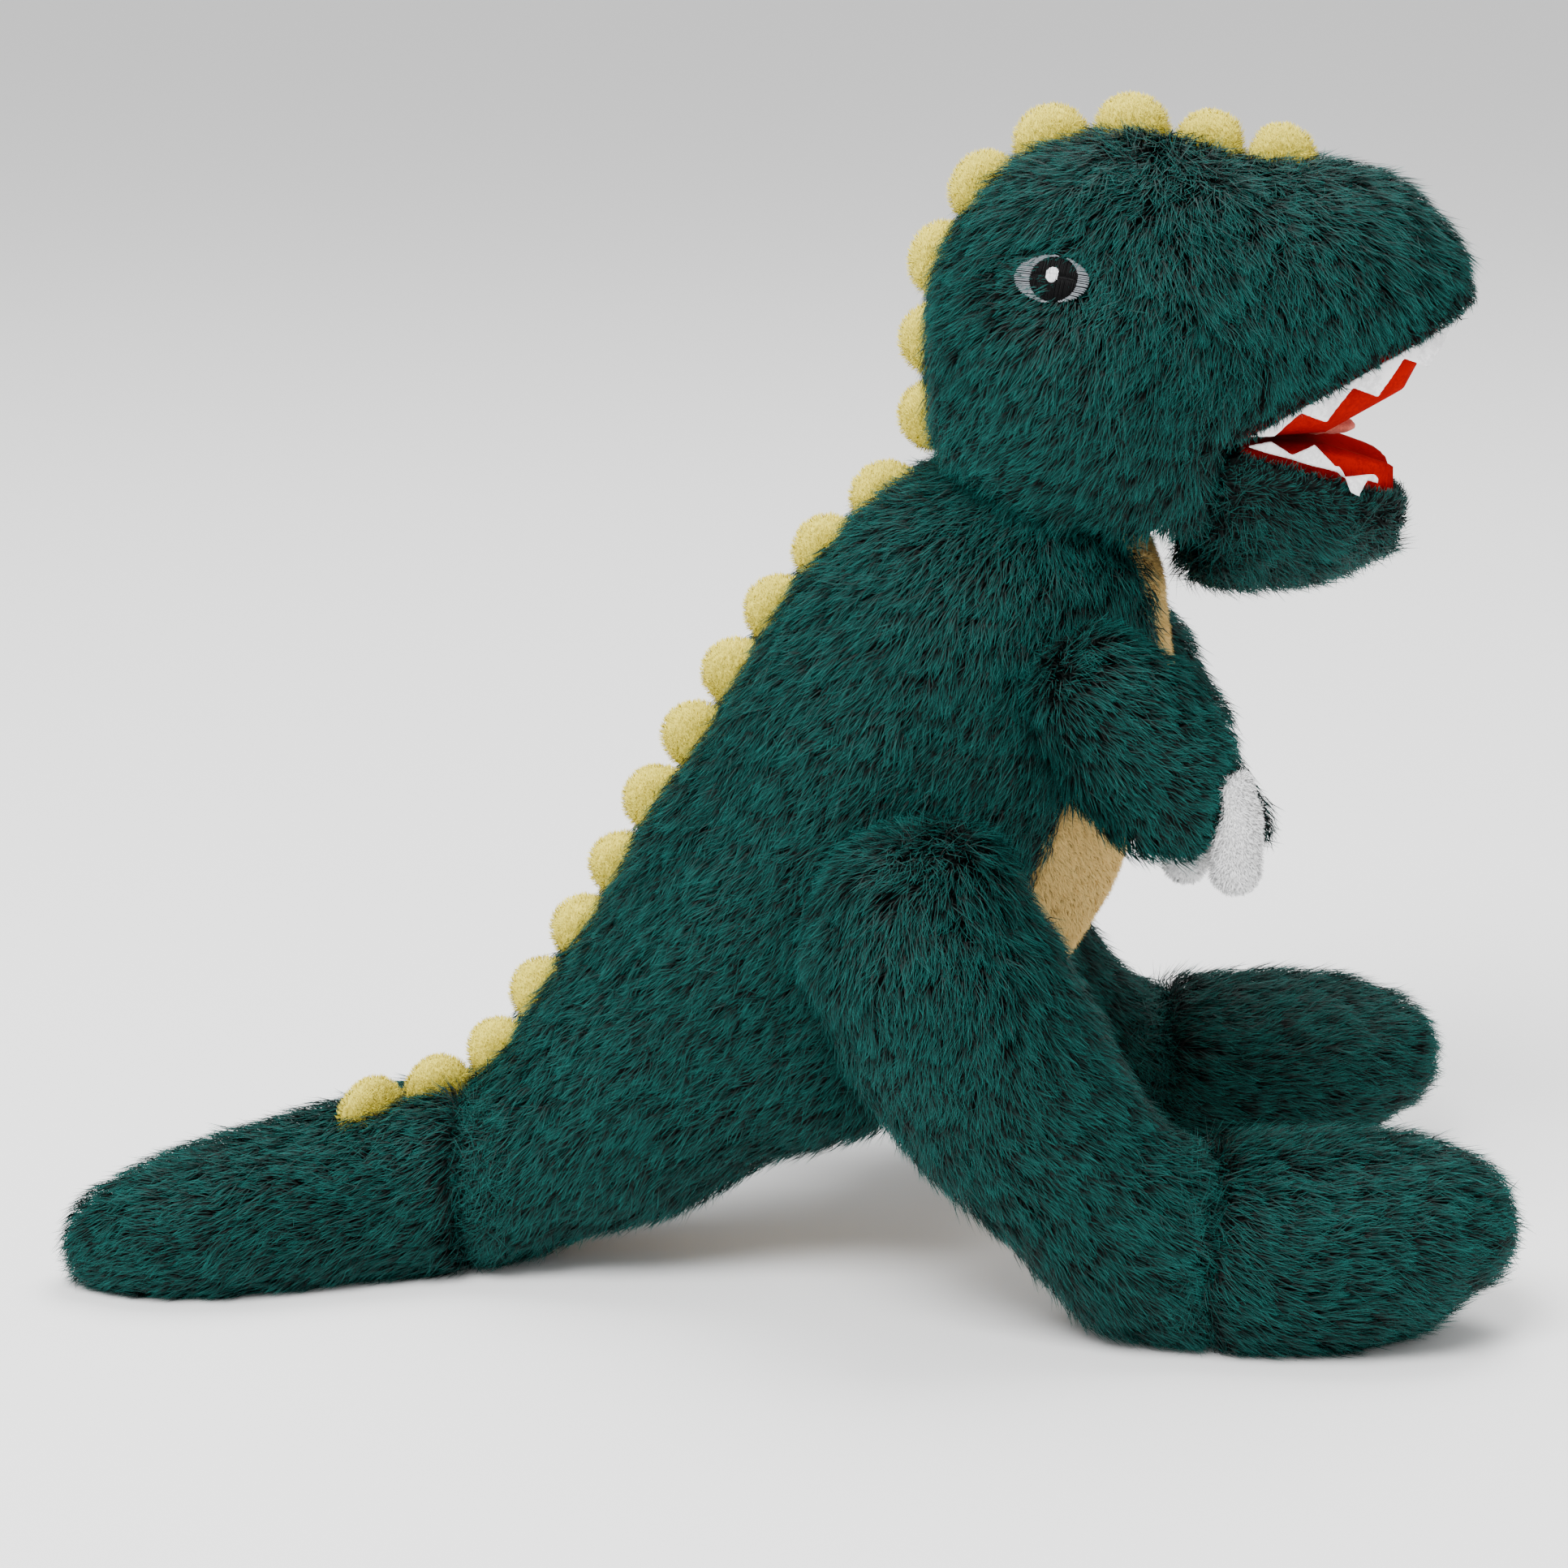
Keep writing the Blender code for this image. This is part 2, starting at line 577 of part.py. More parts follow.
def add_teeth(toy, name, body, form, side, angle, longest, inset, tips, start, end):
    """A zigzag strip of felt along one edge of the mouth. The upper one points down."""
    corner = mouth_corner()
    slope = math.tan(math.radians(angle))
    sign = -1 if angle > 0 else 1
    columns = np.linspace(start * BODY_SCALE, end * BODY_SCALE, 2 * tips + 1)
    verts = []
    for i, x in enumerate(columns):
        z = corner[1] + (x - corner[0]) * slope
        y = (form.half_width(x, z) - inset) * side
        base = z + sign * (SEAM_GAP + LINING + TOOTH_FELT / 2)
        room = min(longest, TOOTH_SLOPE * (x - corner[0]))
        drop = room if i % 2 else room * TOOTH_VALLEY
        verts += [(x, y, base), (x, y, base + sign * drop)]
    faces = [[2 * i, 2 * i + 2, 2 * i + 3, 2 * i + 1] for i in range(2 * tips)]
    felt = cloth_material("white_felt", CLAW_WHITE)
    strip = toy.add_piece(name, body, verts, faces, felt, smooth=False)
    edit_mesh(strip, lambda work: None)
    thicken(strip, TOOTH_FELT)
    strip.modifiers["cloth"].offset = 0.0


def add_eye(toy, name, form, side):
    """A padded oval of embroidery that lies on the side of the head."""
    x, z = EYE[0] * BODY_SCALE, EYE[1] * BODY_SCALE
    wide = form.half_width(x, z)
    reach = EYE_LONG / 2
    widening = form.half_width(x + reach, z) - form.half_width(x - reach, z)
    ahead = Vector((2 * reach, widening, 0)).normalized()
    reach = EYE_TALL / 2
    widening = form.half_width(x, z + reach) - form.half_width(x, z - reach)
    above = Vector((0, widening, 2 * reach)).normalized()
    out = above.cross(ahead).normalized()
    work = bmesh.new()
    bmesh.ops.create_uvsphere(work, u_segments=20, v_segments=8, radius=0.5)
    bmesh.ops.scale(work, verts=work.verts, vec=Vector((EYE_LONG, EYE_TALL, EYE_THICK)))
    bmesh.ops.rotate(work, verts=work.verts, matrix=Matrix.Rotation(math.radians(EYE_TILT), 3, "Z"))
    turn = Matrix((ahead, out.cross(ahead), out)).transposed()
    bmesh.ops.rotate(work, verts=work.verts, matrix=turn)
    place = Vector((x, wide, z)) + out * (EYE_THICK / 2 + EYE_CLEAR)
    bmesh.ops.translate(work, verts=work.verts, vec=place)
    work.verts.ensure_lookup_table()
    points = np.array([v.co for v in work.verts]) * (1, side, 1)
    faces = [[v.index for v in f.verts] for f in work.faces]
    work.free()
    thread = cloth_material("black_thread", THREAD_BLACK, 0.5)
    piece = toy.add_piece(name, "head", points, faces, thread)
    edit_mesh(piece, lambda bm: None)


def add_limbs(toy, side_name, side):
    arm_body, leg_body, foot_body = "arm_" + side_name, "leg_" + side_name, "foot_" + side_name
    patch = FLANK * GIRTH + SEAM_GAP
    arm = Form(ARM, around=14, start_dome=SHOULDER_DOME, end_dome=HAND_DOME).limit(side_least=patch)
    add_cover(toy, "arm_cover_" + side_name, arm_body, arm, fur(), side=side, patch=patch)
    add_filling(toy, "arm_filling_" + side_name, arm_body, arm, side)
    points, faces = arm.solid()
    hand = toy.add_cutter("hand_" + side_name, bpy.data.meshes.new("hand_" + side_name))
    hand.data.from_pydata([tuple(p) for p in points * (1, side, 1)], [], faces)
    edit_mesh(hand, lambda work: None)
    shrink(hand, -SEAM_GAP)
    plush = cloth_material("white_plush", CLAW_WHITE)
    for place, sections in (("front", CLAW_FRONT), ("rear", CLAW_REAR)):
        claw = Form(sections, around=10, pile=0.0, start_dome=CLAW_DOME / 3, end_dome=CLAW_DOME)
        points, faces = claw.solid()
        name = f"claw_{place}_{side_name}"
        piece = toy.add_piece(name, arm_body, points * (1, side, 1), faces, plush)
        edit_mesh(piece, lambda work: None)
        cut(piece, hand)

    ankle_round = math.dist(LEG[-1].back, LEG[-1].belly) / 2 * BODY_SCALE - PILE
    leg = Form(LEG, around=16, start_dome=THIGH_DOME, end_dome=ankle_round).limit(side_least=patch)
    sleeve = (0, leg.last)
    add_cover(toy, "leg_cover_" + side_name, leg_body, leg, fur(), sleeve, side=side, patch=patch)
    add_filling(toy, "leg_filling_" + side_name, leg_body, leg, side)

    foot = Form(FOOT, around=16, end_dome=TOE_DOME).limit()
    centre = scaled(ANKLE)
    centre.y *= side
    flat = (centre.x, centre.z)
    rim = socket(toy, "ankle_cover_socket_" + side_name, flat, 0.0, SEAM_WEDGE)
    cut(add_cover(toy, "foot_cover_" + side_name, foot_body, foot, fur(), side=side), rim)
    hollow = hollow_radius(ankle_round)
    inner_rim = socket(toy, "ankle_socket_" + side_name, flat, 0.0, FILLING_WEDGE, hollow)
    cut(add_filling(toy, "foot_filling_" + side_name, foot_body, foot, side), inner_rim)


def add_tail(toy):
    form = Form(TAIL, end_dome=TAIL_DOME).limit()
    centre = scaled(TAIL_ROOT)
    flat = (centre.x, centre.y)
    rim = socket(toy, "tail_cover_socket", flat, 180.0, SEAM_WEDGE, upright=True)
    hollow = hollow_radius(TORSO[-1].wide * GIRTH - PILE)
    inner_rim = socket(toy, "tail_socket", flat, 180.0, FILLING_WEDGE, hollow, upright=True)
    half = AROUND // 2
    seam = (CREST_SLOT, HALF_GAP)
    left, right = range(half + 1), range(half, AROUND + 1)
    for name, columns, gaps in (("left", left, seam), ("right", right, seam[::-1])):
        panel = add_cover(toy, "tail_panel_" + name, "tail", form, fur(), columns=columns, gaps=gaps)
        cut(panel, rim)
    cut(add_filling(toy, "tail_filling", "tail", form), inner_rim)
    rings = form.rings[1:]
    return SeamLine([r[0] for r in rings], [r.mean(axis=0) for r in rings])


def scallop_outline():
    """The half-round's outline from one end of its base, over the top, and back along the base."""
    arch = np.linspace(0.0, math.pi, SCALLOP_ARCH)
    over = [(SCALLOP_WIDTH / 2 * math.cos(t), SCALLOP_HEIGHT * math.sin(t) ** SCALLOP_ROUND) for t in arch]
    along = np.linspace(-0.5, 0.5, SCALLOP_BASE)[1:-1]
    return over + [(SCALLOP_WIDTH * share, 0.0) for share in along]


def add_scallop(toy, name, body, line, distance):
    """A padded half-round of short plush that bends along the back seam, with its seam allowance
    down in the seam."""
    outline = scallop_outline()
    middle = (0.0, SCALLOP_HEIGHT * SCALLOP_MIDDLE)
    pad = [(u * PAD_SHARE, middle[1] + (v - middle[1]) * PAD_SHARE) for u, v in outline]
    rings = ((outline, SCALLOP_EDGE), (pad, SCALLOP_PAD), ([middle], SCALLOP_PAD * PAD_CROWN))
    verts = []
    for side in (-1, 1):
        for ring, half in rings:
            for u, v in ring:
                point, heading, out = line.frame(distance + u)
                verts.append(point + out * (v + SEAM_GAP) + np.cross(heading, out) * (side * half))
    count = len(outline)
    layer = 2 * count + 1
    faces = []
    for k in range(count):
        after = (k + 1) % count
        for start in (0, layer):
            faces.append([start + k, start + after, start + count + after, start + count + k])
            faces.append([start + count + k, start + count + after, start + 2 * count])
        faces.append([k, after, layer + after, layer + k])
    below = set(range(SCALLOP_ARCH - 1, count)) | {0}
    below |= {layer + k for k in below}
    plush = cloth_material("scallop_plush", SCALLOP_YELLOW)
    piece = toy.add_piece(name, body, verts, faces, plush)
    _, _, out = line.frame(distance)

    def add_root(work):
        """Draws the base down into the seam."""
        base = [f for f in work.faces if {v.index for v in f.verts} <= below]
        moved = bmesh.ops.extrude_face_region(work, geom=base)["geom"]
        verts = [v for v in moved if isinstance(v, bmesh.types.BMVert)]
        bmesh.ops.translate(work, verts=verts, vec=Vector(out) * -(SCALLOP_ROOT + SEAM_GAP))
        bmesh.ops.delete(work, geom=base, context="FACES")
        bmesh.ops.recalc_face_normals(work, faces=work.faces)

    edit_mesh(piece, add_root)


def add_crests(toy, lines):
    number = 1
    for crest in CRESTS:
        for i in range(crest.count):
            distance = (crest.first + i * crest.pitch) * BODY_SCALE
            add_scallop(toy, f"scallop_{number:02d}", crest.body, lines[crest.body], distance)
            number += 1


def centre_on_floor(toy):
    """Puts the middle of the whole toy's box over the origin."""
    bpy.context.view_layer.update()
    graph = bpy.context.evaluated_depsgraph_get()
    corners = []
    for piece in toy.parts.objects:
        if piece.type == "MESH":
            made = piece.evaluated_get(graph)
            corners += [made.matrix_world @ Vector(c) for c in made.bound_box]
    low = Vector([min(c[k] for c in corners) for k in range(3)])
    high = Vector([max(c[k] for c in corners) for k in range(3)])
    shift = Vector(((low.x + high.x) / 2, (low.y + high.y) / 2, low.z))
    for obj in list(toy.seams.values()) + list(toy.cutters.objects):
        obj.location -= shift


def main():
    clear_scene()
    toy = Toy()
    toy.add_body("torso", Vector((0, 0, 0)))
    toy.add_body("head", scaled(NECK))
    toy.add_body("jaw", scaled((MOUTH_CORNER[0], 0, MOUTH_CORNER[1])))
    toy.add_body("tail", scaled(TAIL_ROOT))
    for name, side in (("left", 1), ("right", -1)):
        for body, centre in (("arm", SHOULDER), ("leg", HIP), ("foot", ANKLE)):
            toy.add_body(f"{body}_{name}", scaled((centre[0], centre[1] * side, centre[2])))

    lines = {"torso": add_torso(toy), "tail": add_tail(toy)}
    head, lines["head"] = add_head(toy)
    jaw = add_jaw(toy)
    for name, side in (("left", 1), ("right", -1)):
        upper = (ROOF_ANGLE, UPPER_TOOTH, TOOTH_INSET, *UPPER_TEETH)
        lower = (FLOOR_ANGLE, LOWER_TOOTH, LOWER_TOOTH_INSET, *LOWER_TEETH)
        add_teeth(toy, "upper_teeth_" + name, "head", head, side, *upper)
        add_teeth(toy, "lower_teeth_" + name, "jaw", jaw, side, *lower)
        add_eye(toy, "eye_" + name, head, side)
        add_limbs(toy, name, side)
    add_crests(toy, lines)
    centre_on_floor(toy)


if __name__ == "__main__":
    main()
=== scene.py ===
"""Builds the finished look of a stuffed dinosaur around its CAD model: long-pile fur, short plush,
felt, terry and embroidery. Lengths are in metres; the toy faces +X and +Z is up.
"""

import json
import math
import zlib

import bmesh
import bpy
import numpy as np
from bpy.props import FloatProperty, FloatVectorProperty, PointerProperty
from mathutils import Euler, Matrix, Vector
from mathutils.bvhtree import BVHTree

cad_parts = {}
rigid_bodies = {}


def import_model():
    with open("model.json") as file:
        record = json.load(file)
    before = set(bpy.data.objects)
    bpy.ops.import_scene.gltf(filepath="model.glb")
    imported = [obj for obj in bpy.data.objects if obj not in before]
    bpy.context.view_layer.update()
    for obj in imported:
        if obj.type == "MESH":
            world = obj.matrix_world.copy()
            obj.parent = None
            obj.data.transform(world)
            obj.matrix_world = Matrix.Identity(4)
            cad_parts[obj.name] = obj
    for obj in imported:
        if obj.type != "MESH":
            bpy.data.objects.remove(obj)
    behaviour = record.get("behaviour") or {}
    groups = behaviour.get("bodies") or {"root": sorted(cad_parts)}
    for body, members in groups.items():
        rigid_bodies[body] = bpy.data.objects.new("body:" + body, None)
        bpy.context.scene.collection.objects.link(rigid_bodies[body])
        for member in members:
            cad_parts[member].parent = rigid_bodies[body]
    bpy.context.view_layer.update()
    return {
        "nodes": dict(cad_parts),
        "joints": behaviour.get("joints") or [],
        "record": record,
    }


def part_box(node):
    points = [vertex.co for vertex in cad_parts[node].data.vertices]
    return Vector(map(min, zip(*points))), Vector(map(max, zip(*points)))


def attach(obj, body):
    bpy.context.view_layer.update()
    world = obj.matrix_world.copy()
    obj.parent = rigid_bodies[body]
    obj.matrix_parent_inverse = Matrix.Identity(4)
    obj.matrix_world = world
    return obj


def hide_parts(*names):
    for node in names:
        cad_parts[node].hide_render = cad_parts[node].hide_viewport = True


bl_info = {
    "name": "Stuffed Dinosaur",
    "version": (1, 0, 0),
    "blender": (4, 5, 0),
    "location": "View3D > Sidebar > Plush",
    "description": "Sews, stuffs and brushes a stuffed dinosaur, and sets it on a plain stage",
    "category": "Object",
}

SIDES = (("left", 1), ("right", -1))
WELD = 1e-6  # points nearer than this are one

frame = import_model()
joint_place = {joint["child"]: Vector(joint["pos_m"]) for joint in frame["joints"]}


# ---- Colours and settings ---------------------------------------------------------------------
def colour(code):
    """Linear RGBA from an sRGB hex code."""
    values = [int(code[k : k + 2], 16) / 255 for k in (1, 3, 5)]
    return [v / 12.92 if v <= 0.04045 else ((v + 0.055) / 1.055) ** 2.4 for v in values] + [1.0]


def tint(name, description, code):
    """A colour that the panel lets a user change."""
    return FloatVectorProperty(
        name=name, description=description, subtype="COLOR", size=4, default=colour(code)
    )


class FurSettings(bpy.types.PropertyGroup):
    """The long green pile."""

    length: FloatProperty(
        name="Pile length", description="From the cloth to the tip", default=0.0115, unit="LENGTH"
    )
    width: FloatProperty(
        name="Tuft width", description="Of a lock of hairs at its root", default=0.00042, unit="LENGTH"
    )
    density: FloatProperty(
        name="Tufts per square metre", description="Before any are brushed out", default=2.3e6
    )
    root: tint("Root", "Shaded inside of the pile", "#000907")
    tip: tint("Tip", "Ends of the hairs", "#005e58")


class PlushSettings(bpy.types.PropertyGroup):
    """The short piles and the felts."""

    scallop: tint("Scallops", "Yellow plush of the crest", "#fff060")
    belly: tint("Belly", "Cream plush of the belly", "#edcb80")
    claw: tint("Claws", "White plush of the claws", "#ffffff")
    tooth: tint("Teeth", "White felt of the teeth", "#f0eff0")
    lining: tint("Mouth", "Red felt of the mouth", "#9a0000")
    tongue: tint("Tongue", "Coral terry of the tongue", "#ee7a68")


# ---- Materials --------------------------------------------------------------------------------
WHITE = [1.0, 1.0, 1.0, 1.0]
FIBRE_IOR = 1.5  # of polyester
CLOTH_IOR = 1.45  # a little lower, for the air in it
PLUSH_GRAIN = 900.0  # tangles of fibre to the metre: one each 1.1 mm
FELT_GRAIN = 700.0  # one each 1.4 mm
TERRY_GRAIN = 1100.0  # one loop each 0.9 mm
WEAR_GRAIN = 60.0  # uneven brushing, in patches of 17 mm
TWIST_GRAIN = 1500.0  # twists of embroidery thread, drawn at 0.7 mm so that they show


class Look:
    """A material that is put together node by node."""

    def __init__(self, name):
        self.material = bpy.data.materials.new(name)
        self.material.use_nodes = True
        self.tree = self.material.node_tree
        self.shader = self.tree.nodes["Principled BSDF"]

    def add(self, kind, links=(), **settings):
        """Adds a node, sets its properties or inputs, and links (output, input name) pairs into it."""
        node = self.tree.nodes.new(kind)
        for name, value in settings.items():
            if hasattr(node, name):
                setattr(node, name, value)
            else:
                node.inputs[name.replace("_", " ")].default_value = value
        for output, name in links:
            self.tree.links.new(output, node.inputs[name])
        return node

    def ramp(self, value, stops):
        node = self.add("ShaderNodeValToRGB", [(value, "Fac")])
        elements = node.color_ramp.elements
        while len(elements) < len(stops):
            elements.new(0.5)
        for element, (place, shade) in zip(elements, stops):
            element.position = place
            element.color = shade
        return node.outputs["Color"]

    def set(self, **values):
        for name, value in values.items():
            self.shader.inputs[name.replace("_", " ")].default_value = value

    def feed(self, output, name):
        self.tree.links.new(output, self.shader.inputs[name])


def fade(shade, share):
    return [channel * share for channel in shade[:3]] + [1.0]


def mixed(one, other, share):
    return [a + (b - a) * share for a, b in zip(one, other)]


def strand_look(name, root, tip, roughness, sheen, vary=0.85, gloss=0.0):
    """Polyester pile. The hairs are dark with painted shade where they stand close at the root, lighten
    with painted light toward the tip and differ a little from one to the next; a soft gloss runs along
    them."""
    look = Look(name)
    place = look.add("ShaderNodeUVMap", uv_map="OFBake").outputs["UV"]
    split = look.add("ShaderNodeSeparateXYZ", [(place, "Vector")])
    halfway = mixed(root, tip, 0.5)
    # painted shade at the root, darker than the root colour, and painted light at the tip, brighter than
    # the tip colour
    stops = [(0.0, fade(root, 0.35)), (0.5, root), (0.82, halfway), (1.0, fade(tip, 1.4))]
    along = look.ramp(split.outputs["Y"], stops)
    each = look.add("ShaderNodeTexWhiteNoise", [(split.outputs["X"], "W")], noise_dimensions="1D")
    least, most = 1.0 - vary, 1.0 + vary
    light = look.add("ShaderNodeMapRange", [(each.outputs["Value"], "Value")], To_Min=least, To_Max=most)
    pair = [(along, 0), (light.outputs["Result"], 1)]
    shade = look.add("ShaderNodeVectorMath", pair, operation="MULTIPLY")
    look.feed(shade.outputs["Vector"], "Base Color")
    look.set(Roughness=roughness, Sheen_Weight=sheen, Sheen_Roughness=0.4)
    look.set(IOR=FIBRE_IOR, Specular_IOR_Level=gloss)
    look.set(Sheen_Tint=mixed(tip, WHITE, 0.5))
    return look.material


def cloth_look(name, shade, roughness=0.95, grain=PLUSH_GRAIN, bump=0.4, depth=0.0002, sheen=0.15,
               gloss=0.3):
    """Brushed cloth or felt: matte, with a fine tangle of fibres in a bump, whose lighter specks are
    painted highlight where the fibres catch the light.
    """
    look = Look(name)
    place = look.add("ShaderNodeTexCoord").outputs["Object"]
    fibre = look.add("ShaderNodeTexNoise", [(place, "Vector")], Scale=grain, Detail=4.0, Roughness=0.7)
    patch = look.add("ShaderNodeTexNoise", [(place, "Vector")], Scale=WEAR_GRAIN, Detail=3.0)
    pair = [(fibre.outputs["Fac"], 0), (patch.outputs["Fac"], 1)]
    both = look.add("ShaderNodeMath", pair, operation="ADD")
    # where the fibre and brushing noise is high the colour is lighter: painted highlight of fibres
    # catching the light
    stops = [(0.7, fade(shade, 0.78)), (1.05, shade), (1.35, fade(shade, 1.15))]
    look.feed(look.ramp(both.outputs["Value"], stops), "Base Color")
    height = [(fibre.outputs["Fac"], "Height")]
    raised = look.add("ShaderNodeBump", height, Strength=bump, Distance=depth)
    look.feed(raised.outputs["Normal"], "Normal")
    look.set(Roughness=roughness, Sheen_Weight=sheen, Sheen_Roughness=0.5)
    look.set(IOR=CLOTH_IOR, Specular_IOR_Level=gloss)
    return look.material


# ---- Meshes -----------------------------------------------------------------------------------
COARSE_WEAVE = 0.003  # voxel of the large skins; finer ones are given where they are used
WAVES = 5  # sines in a smooth noise
WAVE_SPREAD = (0.6, 1.4)  # their sizes, as shares of the mean


def finished(obj):
    """Replaces an object's mesh with what its modifiers make of it."""
    graph = bpy.context.evaluated_depsgraph_get()
    mesh = bpy.data.meshes.new_from_object(obj.evaluated_get(graph), depsgraph=graph)
    obj.modifiers.clear()
    obj.data = mesh
    mesh.shade_smooth()
    return obj


def new_object(name, mesh):
    obj = bpy.data.objects.new(name, mesh)
    bpy.context.scene.collection.objects.link(obj)
    return obj


def cad_copy(name, nodes):
    """One new object that holds the solids of these CAD nodes."""
    work = bmesh.new()
    for node in nodes:
        work.from_mesh(frame["nodes"][node].data)
    bmesh.ops.remove_doubles(work, verts=work.verts, dist=WELD)
    mesh = bpy.data.meshes.new(name)
    work.to_mesh(mesh)
    work.free()
    return new_object(name, mesh)


def soft_skin(name, nodes, voxel=COARSE_WEAVE, rounds=8, swell=0.0):
    """The outside of a stuffed form, as one smooth closed skin over all its solids. A swell over half
    the ease between them joins cover and filling."""
    skin = cad_copy(name, nodes)
    if swell:
        plump = skin.modifiers.new("plump", "DISPLACE")
        plump.strength = swell
        plump.mid_level = 0.0
    remesh = skin.modifiers.new("weave", "REMESH")
    remesh.mode = "VOXEL"
    remesh.voxel_size = voxel
    smooth = skin.modifiers.new("ease", "SMOOTH")
    smooth.factor = 0.5
    smooth.iterations = rounds
    return finished(skin)


def points_of(mesh):
    points = np.empty(len(mesh.vertices) * 3)
    mesh.vertices.foreach_get("co", points)
    return points.reshape(-1, 3)


def normals_of(mesh):
    normals = np.empty(len(mesh.vertices) * 3)
    mesh.vertex_normals.foreach_get("vector", normals)
    return normals.reshape(-1, 3)


def press(skin, *dents):
    """Moves a skin's points along their normals: each dent is (place, radius, rise)."""
    points, normals = points_of(skin.data), normals_of(skin.data)
    rise = np.zeros(len(points))
    for place, radius, amount in dents:
        far = np.linalg.norm(points - np.array(place), axis=1) / radius
        rise += amount * np.exp(-far * far)
    skin.data.vertices.foreach_set("co", (points + normals * rise[:, None]).ravel())
    skin.data.update()


def waves(points, size, seed):
    """Smooth noise from -1 to 1 at each point, with features of about that size."""
    rng = np.random.default_rng(seed)
    total = np.zeros(len(points))
    for _ in range(WAVES):
        way = rng.normal(size=3)
        way *= 2 * math.pi / size * rng.uniform(*WAVE_SPREAD) / np.linalg.norm(way)
        total += np.sin(points @ way + rng.uniform(0, 2 * math.pi))
    return total / 3.0


def lumpy(skin, size, depth, seed):
    """Loose filling pushes a cover out unevenly."""
    points, normals = points_of(skin.data), normals_of(skin.data)
    rise = waves(points, size, seed) * depth
    skin.data.vertices.foreach_set("co", (points + normals * rise[:, None]).ravel())
    skin.data.update()


def settle(skin):
    """Flattens what would dip below the floor."""
    points = points_of(skin.data)
    points[:, 2] = np.maximum(points[:, 2], 0.0)
    skin.data.vertices.foreach_set("co", points.ravel())
    skin.data.update()


# ---- Pile -------------------------------------------------------------------------------------
CELL_PRIMES = (73856093, 19349663, 83492791)  # the usual ones for hashing a grid cell
CELL_KINDS = 1000003  # different locks
LOCK_BLUR = 0.0008  # how far hairs cross into the next lock
LEAST_LENGTH = 0.72  # share of the pile length that every hair has
OWN_LENGTH = 0.38  # and the most that chance adds to one hair
LOCK_LENGTH = 0.3  # or to a whole lock
RISE_SPREAD = 9.0  # degrees between hairs at the root
LIE_SPREAD = 7.0  # and at the tip
LOCK_LIE = 16.0  # degrees between locks at the tip
DRAW_AT_MIDDLE = 0.4  # share of the pull toward a lock's middle in a hair's lower half
TWIST = 0.45  # of a hair about itself
ROOT_DEPTH = 0.0006  # how far a hair starts inside the cloth
TAPER = 0.8  # half width at the middle of a hair, as a share of that at its root
FLOOR_GAP = 0.0004  # hairs that would dip into the floor lie this far above it
TONES = 500  # different tones of hair
TONE_STEP = 0.0018  # width of one tone across the UV map
FLATTEN, FACE, FLECK = 0.4, 0.6, 0.16  # shares of skin, hair and chance in a hair's shading
QUAD_AND_TIP = np.array([0, 1, 3, 2, 2, 3, 4])  # corners of a hair's two faces
LEAF_POINTS = 5


def unit(vectors):
    return vectors / np.maximum(np.linalg.norm(vectors, axis=1), 1e-9)[:, None]


def scatter(skin, density, rng):
    """Random points on a skin with their normals, so many to the square metre."""
    mesh = skin.data
    mesh.calc_loop_triangles()
    corners = np.empty(len(mesh.loop_triangles) * 3, np.int32)
    mesh.loop_triangles.foreach_get("vertices", corners)
    corners = corners.reshape(-1, 3)
    points, normals = points_of(mesh), normals_of(mesh)
    a, b, c = (points[corners[:, k]] for k in range(3))
    areas = np.linalg.norm(np.cross(b - a, c - a), axis=1) / 2
    count = int(areas.sum() * density)
    chosen = np.searchsorted(np.cumsum(areas), rng.random(count) * areas.sum())
    chosen = np.minimum(chosen, len(areas) - 1)
    u, v = rng.random(count), rng.random(count)
    over = u + v > 1
    u[over], v[over] = 1 - u[over], 1 - v[over]
    shares = np.stack([1 - u - v, u, v], axis=1)[:, :, None]
    places = (points[corners[chosen]] * shares).sum(axis=1)
    return places, unit((normals[corners[chosen]] * shares).sum(axis=1))


def hashed(cells, rng_seed):
    """Three random numbers for each integer cell, the same for all strands in it."""
    mixed_up = (cells @ np.array(CELL_PRIMES)) % CELL_KINDS
    rng = np.random.default_rng(rng_seed)
    return rng.random((CELL_KINDS, 3))[mixed_up]


class Pile:
    """How a pile grows: its hair, how it lies, and where it is combed."""

    def __init__(self, length, width, density, rise, lie, clump, pull, stray, tousle, look):
        self.length = length  # of a hair
        self.width = width  # at its root
        self.density = density  # hairs to the square metre
        self.rise = rise  # angle above the skin at the root, in degrees
        self.lie = lie  # and at the tip
        self.clump = clump  # distance between locks
        self.pull = pull  # how far tips draw together into locks, as a share
        self.stray = stray  # how much single hairs stray from the comb
        self.tousle = tousle  # and how much whole locks do
        self.look = look


def locks(roots, normals, pile, comb, seed, rng):
    """For each root the way its hair is combed, the pull toward the middle of its lock, and the
    lock's own three random numbers."""
    blurred = roots + LOCK_BLUR * rng.normal(size=roots.shape)
    cells = np.floor(blurred / pile.clump).astype(np.int64)
    lock = hashed(cells, seed)
    way = comb(roots, normals) + (lock - 0.5) * pile.tousle + rng.normal(size=roots.shape) * pile.stray
    way = unit(way - normals * (way * normals).sum(axis=1)[:, None])
    draw = (cells + lock) * pile.clump - roots
    draw -= normals * (draw * normals).sum(axis=1)[:, None]
    return way, draw * pile.pull, lock


